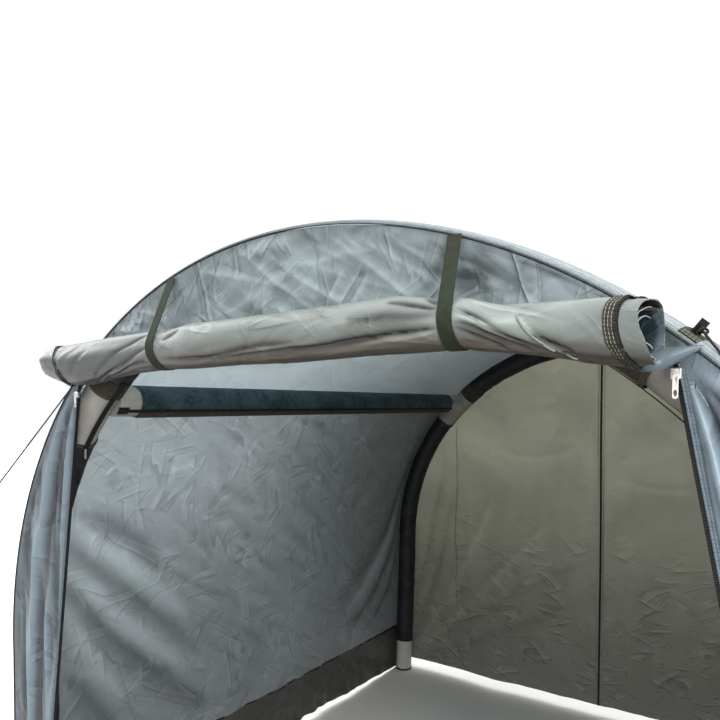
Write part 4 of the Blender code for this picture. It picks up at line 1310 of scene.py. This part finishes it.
def make_rear_wall(label, side, seed):
    """One half of the rear wall, from its zip to the arch, and the faint seam down it."""
    near = REAR_ZIP_WIDTH / 2
    outer_x, outer_z, inner_z = rear_outline()
    share = np.linspace(0.0, 1.0, REAR_COLUMNS)
    x = near + (outer_x - near)[:, None] * share
    z = inner_z[:, None] + (outer_z - inner_z)[:, None] * share
    edges = rear_edges(share)
    bulge = np.clip(rear_relief(side * x, z, seed) * edges, *REAR_BULGE)
    grid = joined(side * x, HALF_DEPTH - END_INSET - bulge, z)
    # Painted shade in the folds and painted highlight on the ridges.
    shade = 0.7 * np.tanh(rear_relief(side * x, z, seed, crisp=True) * edges / REAR_FOLD_DEPTH)
    wall = make_sheet(f"rear_wall_{label}_cloth", grid, joined(x, z), REAR_SATIN, shade=shade)
    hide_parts(f"rear_wall_{label}")
    across = (REAR_SEAM_X - near) / (outer_x - near)
    seam_z = inner_z + (outer_z - inner_z) * across
    kept = (seam_z < REAR_SEAM_TOP) & (across < 0.97)
    across, seam_z = across[kept], seam_z[kept]
    seam_x = np.full_like(seam_z, side * REAR_SEAM_X)
    relief = np.clip(rear_relief(seam_x, seam_z, seed) * rear_edges(across), *REAR_BULGE)
    line = joined(seam_x, HALF_DEPTH - END_INSET - relief - REAR_SEAM_LIFT, seam_z)
    seam = make_band(f"rear_wall_{label}_seam", line, ACROSS, REAR_SEAM_WIDTH, REAR_SATIN, 0.0003, columns=3)


def make_rear_zip():
    """The zip between the rear wall's halves: its tape, a strip on each side, and the coil inside."""
    heights = rear_outline()[-1]
    sway = ripples(heights, heights * 0.0, 0.8, 161) * 0.0015
    middle = joined(sway, HALF_DEPTH - END_INSET, heights)[:-1]
    tape = make_band("rear_zip_tape", middle, ACROSS, REAR_ZIP_WIDTH + 0.006, REAR_SATIN, TAPE_THICKNESS)
    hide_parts("rear_zip")
    for label, out in (("inside", -1), ("outside", 1)):
        face = middle + (0.0, out * TAPE_THICKNESS, 0.0)
        name = f"rear_zip_strip_{label}"
        strip = make_band(name, face, ACROSS, REAR_STRIP_WIDTH, BLACK_TAPE, 0.0008, columns=3)
    inside = resample(middle - (0.0, REAR_COIL_LIFT, 0.0), REAR_COIL_STEP)
    make_coil("rear_zip_coil_inside", inside, FORWARDS, ROLL_COIL_WIDTH)


ROLL_Y = -HALF_DEPTH - 0.0003 - ROLL_WIDEST
ROLL_FOLDS = (
    (
        ((0.462, 146.0), (0.490, 156.0), (0.520, 172.0), (0.560, 204.0), (0.603, 229.0), (0.627, 244.0)),
        0.0050, -0.0065, True,
    ),
    (
        ((0.466, 184.0), (0.480, 181.0), (0.508, 188.0), (0.535, 206.0), (0.567, 228.0), (0.593, 242.0)),
        0.0046, -0.0060, True,
    ),
    (((0.465, 192.0), (0.500, 203.0), (0.528, 222.0), (0.552, 247.0)), 0.0042, -0.0050, True),
    (((0.465, 168.0), (0.500, 173.0), (0.540, 194.0), (0.580, 222.0)), 0.0065, 0.0035),
    (((0.592, 194.0), (0.617, 212.0), (0.637, 222.0), (0.655, 232.0)), 0.0050, -0.0055, True),
    (((0.446, 133.0), (0.422, 118.0), (0.403, 100.0)), 0.0048, -0.0050, True),
    (((0.450, 151.0), (0.425, 144.0), (0.395, 137.0), (0.335, 133.0)), 0.0052, -0.0055, True),
    (
        ((0.450, 191.0), (0.415, 196.0), (0.377, 202.0), (0.300, 208.0), (0.220, 212.0)),
        0.0050, -0.0065, True,
    ),
    (((0.448, 160.0), (0.405, 171.0), (0.335, 170.0), (0.260, 168.0)), 0.010, -0.0030),
    (((0.445, 200.0), (0.387, 212.0), (0.330, 217.0), (0.262, 222.0)), 0.0065, 0.0035),
    (
        ((-0.270, 212.0), (-0.185, 218.0), (-0.090, 221.0), (-0.023, 207.0), (0.057, 200.0), (0.140, 199.0)),
        0.0055, -0.0065, True,
    ),
    (
        ((-0.110, 227.0), (0.012, 221.0), (0.147, 217.0), (0.242, 214.0), (0.327, 209.0)),
        0.0060, -0.0060, True,
    ),
    (((-0.150, 232.0), (-0.020, 214.0), (0.074, 208.0), (0.200, 206.0)), 0.0080, 0.0030),
    (((-0.274, 131.0), (-0.250, 112.0), (-0.200, 106.0)), 0.0050, -0.0045, True),
    (((-0.262, 160.0), (-0.238, 150.0), (-0.205, 137.0)), 0.0050, -0.0045, True),
    (
        (
            (-0.316, 128.0), (-0.353, 137.0), (-0.388, 157.0),
            (-0.433, 176.0), (-0.485, 200.0), (-0.555, 240.0),
        ),
        0.0052, -0.0055, True,
    ),
    (
        ((-0.292, 166.0), (-0.335, 181.0), (-0.405, 210.0), (-0.498, 238.0), (-0.585, 267.0)),
        0.0056, -0.0065, True,
    ),
    (
        ((-0.305, 216.0), (-0.340, 216.0), (-0.395, 225.0), (-0.465, 246.0), (-0.552, 270.0)),
        0.0046, -0.0055, True,
    ),
    (((-0.292, 182.0), (-0.348, 200.0), (-0.415, 224.0), (-0.515, 258.0)), 0.0065, 0.0035),
    (((-0.560, 150.0), (-0.600, 180.0), (-0.640, 215.0)), 0.012, -0.0025),
    (((-0.620, 120.0), (-0.670, 165.0), (-0.700, 200.0)), 0.010, 0.0022),
)

# Edges of the layers that show on the roll: a line in x and degrees, and how high they step.
ROLL_LAPS = (
    (((0.462, 150.0), (0.506, 173.0), (0.542, 191.0), (0.588, 221.0), (0.66, 236.0)), 0.0045),
    (((0.560, 135.0), (0.576, 161.0), (0.602, 197.0), (0.624, 223.0), (0.66, 245.0)), -0.0030),
)


def table_value(x, places, values):
    """Straight runs between a table's points, with rounded corners."""
    shifts = np.linspace(-0.012, 0.012, 5)
    return sum(np.interp(x + shift, places, values) for shift in shifts) / len(shifts)


def roll_shape(x):
    """The roll's axis height and radius at x, with a level seat under each strap."""
    seats = [(x + end * STRAP_SEAT, z, radius) for x, z, radius in STRAP_WAISTS for end in (-1, 1)]
    stations = np.array(sorted((*ROLL_PROFILE, *seats)))
    return table_value(x, stations[:, 0], stations[:, 1]), table_value(x, stations[:, 0], stations[:, 2])


def round_courses(courses):
    """Courses given in x and degrees round the roll, as x and length round it."""
    return tuple(
        (tuple((x, math.radians(turn) * ROLL_ROUND) for x, turn in points), *rest)
        for points, *rest in courses
    )


def roll_relief(x, degrees, crisp=False):
    """The door's folds: those the straps pull, laps of its layers, and a soft unevenness."""
    around = np.radians(degrees)
    side = around * ROLL_ROUND
    total = folds(x, side, round_courses(ROLL_FOLDS))
    for points, height in round_courses(ROLL_LAPS):
        total = total + lap(x, side, points, height)
    total = total + creases(x, side, 212, 110, 0.07, 0.005, 0.0, 30.0) * 0.0013
    if not crisp:
        wave_y = np.cos(around) * ROLL_ROUND
        wave_z = np.sin(around) * ROLL_ROUND
        total = total + ripples(x, wave_y + 2.0 * wave_z, 0.11, 211, stretch=5.0) * 0.0012
        total = total + ripples(x, wave_z - 1.4 * wave_y, 0.05, 213, stretch=6.0) * 0.0007
    under_strap = np.minimum(*(np.abs(x - waist) for waist, _, _ in STRAP_WAISTS))
    free = 0.25 + 0.75 * ease(under_strap, STRAP_SEAT - 0.002, STRAP_SEAT + 0.02)
    behind = ease(np.cos(around), 0.55, 0.95)
    total = np.where(behind > 0.0, np.minimum(total, 0.0) * behind + total * (1.0 - behind), total)
    return np.clip(total * free, *ROLL_BULGE)


def roll_surface(x, degrees, lift=0.0):
    """Points on the roll, lift metres off its folds. Degrees go from its rear, over the top, to its front."""
    around = np.radians(degrees)
    height, radius = roll_shape(x)
    radius = radius + roll_relief(x, degrees) + lift
    y = np.minimum(ROLL_Y + radius * np.cos(around), -HALF_DEPTH - 0.0005)
    return joined(x, y, height + radius * np.sin(around))


def roll_mouth(degrees):
    """Where the outer layer's edge lies at the roll's right end: it is cut back over its front and top."""
    return ROLL_PROFILE[-1][0] + 0.003 - 0.018 * np.exp(-(((degrees - 150.0) / 52.0) ** 2))


def make_roll():
    """The rolled-up door: closed at its left end, and an open mouth at its right end."""
    turn = np.linspace(0.0, 360.0, 116, endpoint=False)
    left = ROLL_PROFILE[0][0]
    along = np.linspace(0.0, 1.0, 360)[:, None]
    mouth = roll_mouth(turn)
    x = left + (mouth - left) * along
    degrees = np.broadcast_to(turn, x.shape)
    rings = [roll_surface(x, degrees)]
    for inset, depth in ROLL_LIP:
        rings.append(roll_surface((mouth - depth)[None, :], turn[None, :], -inset))
    caps = []
    for inset, depth in ROLL_END:
        caps.append(roll_surface(np.full((1, len(turn)), left + depth), turn[None, :], -inset))
    grid = np.concatenate([*caps, *rings])
    x, degrees = np.broadcast_arrays(grid[..., 0], turn)
    side = np.radians(degrees) * ROLL_ROUND
    # Painted shade: a soft shadow beside each fold, and full shade inside the mouth's lip.
    wide = tuple((points, 1.9 * width, height) for points, width, height, *_ in round_courses(ROLL_FOLDS))
    shade = np.tanh(roll_relief(x, degrees, crisp=True) / ROLL_FOLD_DEPTH)
    shade = shade + 0.45 * np.tanh(folds(x, side, wide) / ROLL_FOLD_DEPTH)
    shade[-(len(rings) - 2):] = -1.0
    # The roll's underside, where under paints shade.
    under = ease(degrees, 175.0, 245.0) * (1.0 - ease(degrees, 300.0, 350.0))
    faces = closed_faces(*x.shape)
    roll = make_piece("door_roll_cloth", grid, faces, DOOR_SATIN, joined(x, side), shade=shade, under=under)
    tidy_shell(roll)
    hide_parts("door_roll")


def make_roll_layers():
    """The door's inner layers, which show in the roll's mouth, with their pale stitched edges."""
    drop = np.array((ROLL_Y, ROLL_PROFILE[-1][1]))
    for number, (start, end, radius, shrink, reach, has_edge) in enumerate(ROLL_LAYERS):
        turn = np.linspace(start, end, 60)
        share = np.linspace(0.0, 1.0, 60)
        size = radius - shrink * share
        size = size * (0.95 + 0.05 * np.cos(np.radians(5.0 * turn + 60.0 * number)))
        out = joined(np.cos(np.radians(turn)), np.sin(np.radians(turn)))
        edge = roll_mouth(turn % 360.0) + reach + 0.0035 * np.sin(np.radians(3.0 * turn + 40.0 * number))
        depth = np.linspace(0.0, 1.0, 12)[None, :]
        x = edge[:, None] - depth * ROLL_LAYER_DEPTH
        sides = (drop + out * size[:, None])[:, None]
        grid = joined(x, sides[..., 0], sides[..., 1])
        chart = joined(x, (np.radians(turn) * radius)[:, None])
        # Painted shade: the layers darken deeper inside the roll's mouth, and are a little lighter at its
        # edge.
        shade = np.broadcast_to(0.3 - 1.3 * ease(depth, 0.10, 0.38), x.shape)
        layer = make_sheet(f"door_roll_layer_{number + 1}", grid, chart, SHADED_SATIN, shade=shade)
        if has_edge:
            lip = make_tube(f"door_roll_layer_{number + 1}_edge", grid[:, 0], 0.0007, PALE_EDGE, 6)


def make_roll_bands():
    """The door's own zip tapes, which ring the roll near both ends."""
    turn = np.linspace(38.0, 322.0, 150)
    for label, end, place, slant, lowest, width in ROLL_BANDS:
        middle = place + slant * np.cos(np.radians(turn - lowest))
        share = np.linspace(-0.5, 0.5, 7) * width
        grid = roll_surface(*np.broadcast_arrays(middle[:, None] + share, turn[:, None]), 0.0014)
        chart = crossed(np.radians(turn) * ROLL_ROUND, share)
        band = make_sheet(f"{label}_roll_zip_band", grid, chart, OLIVE_TAPE, 0.0010)
        outer = middle + end * (width / 2 + ROLL_COIL_GAP)
        coil = resample(roll_surface(outer, turn, 0.0022), 0.0030)
        out = unit(coil - np.array((0.0, ROLL_Y, 1.79)))
        out[:, 0] = 0.0
        make_coil(f"{label}_roll_zip_coil", coil, out, ROLL_COIL_WIDTH)
        under = roll_surface(outer, turn, 0.0008)
        strip = make_band(f"{label}_roll_zip_edge", under, ACROSS, 0.0075, BLACK_TAPE, THIN_TAPE, columns=3)
    turn = np.linspace(152.0, 250.0, 60)
    course = np.polyfit(DOOR_HEM_TURNS, DOOR_HEM_PLACES, 2)
    edge = roll_surface(np.polyval(course, turn), turn, 0.0006)
    trim = make_tube("door_roll_hem_edge", edge, 0.0017, DOOR_SATIN, 8)


def make_gable_corner():
    """The gable's stitched hem, which turns out of the roll's right end and runs up to the arch."""
    path = resample(rounded(GABLE_CORNER_PATH), 0.006)
    width = np.interp(np.linspace(0.0, 1.0, len(path)), (0.0, 0.3, 1.0), (0.011, 0.013, 0.004))
    band = make_band("gable_corner_hem", path, GABLE_CORNER_FACE, width, SHADED_SATIN, 0.0014, bow=0.0015)
    up = np.linspace(0.0, 1.0, 9)[:, None, None]
    top = np.linspace(GABLE_GUSSET_TOP[0], GABLE_GUSSET_TOP[1], len(path))
    grid = path * (1.0 - up) + top * up
    grid[..., 1] = grid[..., 1] + 0.0012 - 0.003 * np.sin(math.pi * up[..., 0])
    gusset = make_sheet("gable_corner_gusset", grid, grid[..., [0, 2]], WING_SATIN)


def make_straps():
    """Two webbing straps: down from the gable's seam, round under the roll and up behind the gable."""
    for (label, _), (top_x, top_z), (waist_x, waist_z, waist_radius) in zip(SIDES, STRAP_TOPS, STRAP_WAISTS):
        reach = waist_radius + 0.0012 + STRAP_THICKNESS / 2
        centre = np.array((ROLL_Y, waist_z))
        start = np.array((-HALF_DEPTH - 0.0012, top_z))
        away = start - centre
        leave = math.atan2(away[1], away[0]) + math.acos(reach / np.hypot(*away))
        path = [(top_x, *start)]
        leaves_x = top_x + (waist_x - top_x) * 0.85
        for share in (0.35, 0.7):
            tangent = centre + reach * np.array((math.cos(leave), math.sin(leave)))
            place = start + (tangent - start) * share
            path.append((top_x + (leaves_x - top_x) * share, *place))
        for angle in np.linspace(leave, math.radians(300.0), 24):
            share = min(1.0, (angle - leave) / 1.2)
            x = leaves_x + (waist_x - leaves_x) * share
            path.append((x, centre[0] + reach * math.cos(angle), centre[1] + reach * math.sin(angle)))
        path += [(waist_x, -HALF_DEPTH + 0.0045, height) for height in (GABLE_HEM - 0.008, STRAP_END_HEIGHT)]
        strap = make_band(f"{label}_roll_strap_webbing", resample(path, 0.006), ACROSS, STRAP_WIDTH, OLIVE)
        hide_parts(f"{label}_roll_strap")


def past_beam(end, share):
    """Depths between an end's beam, at a share of 0, and the end of the tent, at 1."""
    return end * (BEAM_Y + (HALF_DEPTH - BEAM_Y) * share)


def make_seams():
    """The light stitched band along each end of the roof, and its dark piping."""
    girth = np.linspace(0.012, Arch.length - 0.012, 330)
    for label, end in ENDS:
        x, z = arch(girth, SEAM_OFFSET - 0.001)
        piping = joined(x, end * (HALF_DEPTH + 0.001), z)
        trim = make_tube(f"{label}_arch_piping", piping, 0.0012, PIPING, 6)
        rows, y = np.meshgrid(girth, past_beam(end, np.linspace(0.35, 0.985, 6)), indexing="ij")
        x, z = arch(rows, canopy_base(rows, y) + 0.0012)
        grid = joined(x, y, z)
        width = path_length(grid[10])
        band = make_sheet(f"{label}_roof_band", grid, joined(rows, width - width[-1] / 2), BAND, 0.0008)


def bevel_all(offset, segments):
    """Bevels every edge of the active piece."""
    bpy.ops.object.mode_set(mode="EDIT")
    bpy.ops.mesh.select_all(action="SELECT")
    bpy.ops.mesh.bevel(offset=offset, segments=segments, affect="EDGES")
    bpy.ops.object.mode_set(mode="OBJECT")


def apply_place():
    """Moves the active piece's place, turn and size into its mesh."""
    bpy.ops.object.transform_apply(location=True, rotation=True, scale=True)


def add_block(size, place):
    """A block, as the active piece."""
    select_only()
    bpy.ops.mesh.primitive_cube_add(size=1.0, location=place)
    block = bpy.context.active_object
    block.scale = size
    apply_place()
    return block


def make_feet():
    for end, beam_y in ARCHES:
        for label, side in SIDES:
            select_only()
            centre = (side * FOOT_HALF_WIDTH, beam_y, PAD_HEIGHT / 2)
            bpy.ops.mesh.primitive_cylinder_add(
                vertices=64, radius=FOOT_RADIUS, depth=PAD_HEIGHT, location=centre
            )
            pad = bpy.context.active_object
            pad.name = f"{end}_{label}_foot_cup"
            bevel_all(FOOT_BEVEL, 3)
            apply_place()
            bpy.ops.object.shade_smooth_by_angle(angle=math.radians(SMOOTH_EDGE))
            pad.data.materials.append(RUBBER)
            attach(pad, "tent")
            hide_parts(f"{end}_{label}_foot_pad")


def repaint_nodes():
    """Gives the CAD nodes that stay their materials."""
    paints = {
        "guy_loop": BLACK_WEBBING,
        "guy_line": CORD_PAINT,
        "peg": PEG_METAL,
        "zip_slider": METAL,
        "zip_pull": METAL,
    }
    for name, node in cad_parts.items():
        for ending, paint in paints.items():
            if name.endswith(ending):
                node.data.materials.clear()
                node.data.materials.append(paint)


def make_small_pull(name, top):
    """A zip's slider and its small plate, hanging from a point."""
    parts = []
    for size, drop in SMALL_PULL_PARTS:
        part = add_block(size, (top[0], top[1], top[2] - drop))
        bevel_all(SMALL_PULL_BEVEL, 2)
        part.data.materials.append(METAL)
        parts.append(part)
    select_only(*parts)
    bpy.ops.object.join()
    pull = bpy.context.active_object
    pull.name = name
    bpy.ops.object.shade_smooth_by_angle(angle=math.radians(SMOOTH_EDGE))
    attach(pull, "tent")


def round_corners(plate):
    """Rounds a plate's corners, seen from the front."""
    bpy.ops.object.mode_set(mode="EDIT")
    shape = bmesh.from_edit_mesh(plate.data)
    for part in (*shape.verts, *shape.edges, *shape.faces):
        part.select = False
    for edge in shape.edges:
        first, second = edge.verts
        if abs(first.co.y - second.co.y) > 1e-4:
            edge.select_set(True)
    bmesh.update_edit_mesh(plate.data)
    bpy.ops.mesh.bevel(offset=PULL_CORNER, segments=6, affect="EDGES")
    bpy.ops.object.mode_set(mode="OBJECT")


def cut_slot(plate, place, length):
    """Cuts an upright slot with round ends through a plate."""
    select_only()
    bpy.ops.mesh.primitive_cylinder_add(
        vertices=24, radius=PULL_SLOT_RADIUS, depth=0.01, rotation=(math.pi / 2, 0, 0)
    )
    cutter = bpy.context.active_object
    apply_place()
    cutter.scale = (1.0, 1.0, length / (2 * PULL_SLOT_RADIUS))
    cutter.location = place
    apply_place()
    cut = plate.modifiers.new("slot", "BOOLEAN")
    cut.operation = "DIFFERENCE"
    cut.object = cutter
    apply_modifiers(plate)
    bpy.data.objects.remove(cutter, do_unlink=True)


def make_zip_pulls():
    """The door zips' hanging pulls: plates with rounded corners, an eye for the slider's bail and a slot."""
    for label, _ in SIDES:
        low, high = (Vector(corner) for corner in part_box(f"{label}_zip_pull"))
        middle = (low + high) / 2
        pull = add_block(high - low, middle)
        round_corners(pull)
        for drop, length in PULL_SLOTS:
            cut_slot(pull, (middle.x, middle.y, high.z - drop), length)
        soften = pull.modifiers.new("soften", "BEVEL")
        soften.width = 0.0003
        soften.segments = 2
        soften.limit_method = "ANGLE"
        apply_modifiers(pull)
        bpy.ops.object.shade_smooth_by_angle(angle=math.radians(SMOOTH_EDGE))
        pull.name = f"{label}_door_pull_plate"
        pull.data.materials.clear()
        pull.data.materials.append(METAL)
        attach(pull, f"{label}_pull")
        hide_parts(f"{label}_zip_pull")


def make_ring(name, girths, centre, beam_y, lift, swell, paint, thickness):
    """A strip of cloth round a beam, fuller on its inner side. Its flat coordinates start from centre."""
    rows, turn = np.meshgrid(girths, np.linspace(0.0, 2 * math.pi, 57), indexing="ij")
    grid = beam_surface(rows, turn, SLEEVE_RADIUS + lift + swell * inner_share(turn), beam_y)
    ring = make_sheet(name, grid, joined(turn * SLEEVE_RADIUS, rows - centre), paint, thickness)


def make_shoulders():
    """What shows on each bare stretch of a beam: webbing, the sleeves' hems and flaps, and a small pull."""
    low = girth_at_angle(SHOULDER_ANGLE)
    high = girth_at_angle(CROWN_ANGLE)
    share = np.linspace(-0.5, 0.5, 4) * SHOULDER_WEBBING_WIDTH / SLEEVE_RADIUS
    for end, beam_y in ARCHES:
        around = math.radians(180.0 - math.copysign(SHOULDER_WEBBING_TURN, beam_y))
        for label, side in reversed(SIDES):

            def mirrored_girth(girth):
                """A girth on the right, or the same place on the left."""
                return girth if side > 0 else Arch.length - girth

            girths = mirrored_girth(np.linspace(low - 0.012, high + SHOULDER_WEBBING_OVERLAP, 40))
            rows, turn = np.meshgrid(girths, around + share, indexing="ij")
            grid = beam_surface(rows, turn, SLEEVE_RADIUS + 0.0046, beam_y)
            chart = crossed(girths, share * SLEEVE_RADIUS)
            web = make_sheet(f"{end}_{label}_shoulder_webbing", grid, chart, BLACK_WEBBING, TAPE_THICKNESS)
            for hem, place in (("lower", low - 0.006), ("crown", high + 0.006)):
                centre = mirrored_girth(place)
                rows = centre + np.linspace(-0.5, 0.5, 4) * CUFF_WIDTH
                make_ring(f"{end}_{label}_{hem}_cuff", rows, centre, beam_y, 0.0004, 0.0022, CUFF, 0.0010)
            rows = mirrored_girth(high + 0.013 + np.linspace(0.0, 1.0, 8) * CROWN_FLAP_LENGTH)
            make_ring(f"{end}_{label}_crown_flap", rows, 0.0, beam_y, 0.0002, 0.0018, CUFF_PLAIN, THIN_TAPE)
            top = beam_surface(mirrored_girth(low - 0.016), around, SLEEVE_RADIUS + 0.0072, beam_y)
            make_small_pull(f"{end}_{label}_sleeve_pull", top)


def make_guy_patches():
    """The stitched webbing patch under each guy line's loop."""
    for end, end_y in ENDS:
        for label, angle in (("right", GUY_ANGLE), ("left", 180.0 - GUY_ANGLE)):
            rows = girth_at_angle(angle) + np.linspace(-0.5, 0.5, 5) * GUY_PATCH_WIDTH
            girth, y = np.meshgrid(rows, past_beam(end_y, np.linspace(0.05, 0.985, 12)), indexing="ij")
            x, z = arch(girth, canopy_base(girth, y) + 0.0030)
            grid = joined(x, y, z)
            depth = path_length(grid[2])
            chart = joined(girth, depth - depth[-1] + 0.008)
            patch = make_sheet(f"{end}_{label}_guy_patch", grid, chart, OLIVE_TAPE, TAPE_THICKNESS)


def make_guy_knots():
    """The knot that ties each guy line to its loop."""
    turn = np.linspace(0.0, 2 * math.pi, 90)
    x = np.sin(turn) + 2.0 * np.sin(2.0 * turn)
    y = np.cos(turn) - 2.0 * np.cos(2.0 * turn)
    knot = joined(x, y, -np.sin(3.0 * turn)) * GUY_KNOT_SIZE
    for end, end_y in ENDS:
        for label, side in SIDES:
            low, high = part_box(f"{end}_{label}_guy_line")
            near_x = low[0] if side > 0 else high[0]
            near_y = high[1] if end_y < 0 else low[1]
            path = knot * (side, 1.0, 1.0) + (near_x, near_y, high[2] - 0.004)
            cord = make_tube(f"{end}_{label}_guy_knot", path, LINE_RADIUS, CORD_PAINT, 8)


def make_studio():
    """A pale floor, white surroundings that brighten overhead, and soft lights."""
    select_only()
    bpy.ops.mesh.primitive_plane_add(size=60.0, location=(0.0, 0.0, FLOOR_LEVEL))
    floor = bpy.context.active_object
    floor.name = "studio_floor"
    paint = solid_paint("pale_floor", (0.80, 0.79, 0.77), (0.84, 0.83, 0.81), 0.8, grain=3.0)
    floor.data.materials.append(paint)
    floor.visible_diffuse = False
    floor.visible_transmission = False
    around = Paint(bpy.data.worlds.new("studio"))
    height = around.split(around.add("ShaderNodeTexCoord"))[2]
    rise = {"Value": height, "From Min": SKY_RISE[0], "From Max": SKY_RISE[1], "To Min": 1.0}
    rise["To Max"] = SKY_OVERHEAD
    edge = {"Value": height, "From Min": GROUND_EDGE[0], "From Max": GROUND_EDGE[1]}
    tone = around.mix(around.add("ShaderNodeMapRange", {}, edge), GROUND_LIGHT, (1.0, 1.0, 1.0))
    strength = around.add("ShaderNodeMapRange", {}, rise)
    glow = around.add("ShaderNodeBackground", {}, {"Color": tone, "Strength": strength})
    bpy.context.scene.world = around.surface(glow, "ShaderNodeOutputWorld")
    for name, place, aim, size, power, colour in STUDIO_LIGHTS:
        light = bpy.data.lights.new(name, "AREA")
        light.size = size
        light.energy = power
        light.color = colour
        lamp = bpy.data.objects.new(name, light)
        lamp.location = place
        lamp.rotation_mode = "QUATERNION"
        lamp.rotation_quaternion = (Vector(aim) - Vector(place)).to_track_quat("-Z", "Y")
        bpy.context.scene.collection.objects.link(lamp)
    bpy.context.scene.view_settings.view_transform = "Standard"


def make_camera():
    """The photograph's viewpoint: eye height, in front and to the right, looking in to the left."""
    yaw, pitch, roll = (math.radians(turn) for turn in CAMERA_TURNS)
    ahead = Vector((-math.sin(yaw) * math.cos(pitch), math.cos(yaw) * math.cos(pitch), math.sin(pitch)))
    level = Vector((math.cos(yaw), math.sin(yaw), 0.0))
    upright = level.cross(ahead)
    right = level * math.cos(roll) + upright * math.sin(roll)
    up = upright * math.cos(roll) - level * math.sin(roll)
    data = bpy.data.cameras.new("camera")
    data.lens = CAMERA_LENS
    data.sensor_width = 36.0
    data.shift_y = CAMERA_SHIFT
    camera = bpy.data.objects.new("camera", data)
    turn = Matrix((right, up, -ahead)).transposed()
    camera.matrix_world = Matrix.Translation(CAMERA_PLACE) @ turn.to_4x4()
    bpy.context.scene.collection.objects.link(camera)
    bpy.context.scene.camera = camera


make_camera()
make_arches()
make_braces()
make_shoulders()
make_canopy()
make_skirt_tapes()
make_gable()
make_wing("left", -1)
make_wing("right", 1)
make_door_zips()
make_rear_wall("left", -1, 140)
make_rear_wall("right", 1, 150)
make_rear_zip()
make_roll()
make_roll_layers()
make_roll_bands()
make_gable_corner()
make_straps()
make_seams()
make_guy_patches()
make_guy_knots()
make_zip_pulls()
make_feet()
repaint_nodes()
make_studio()
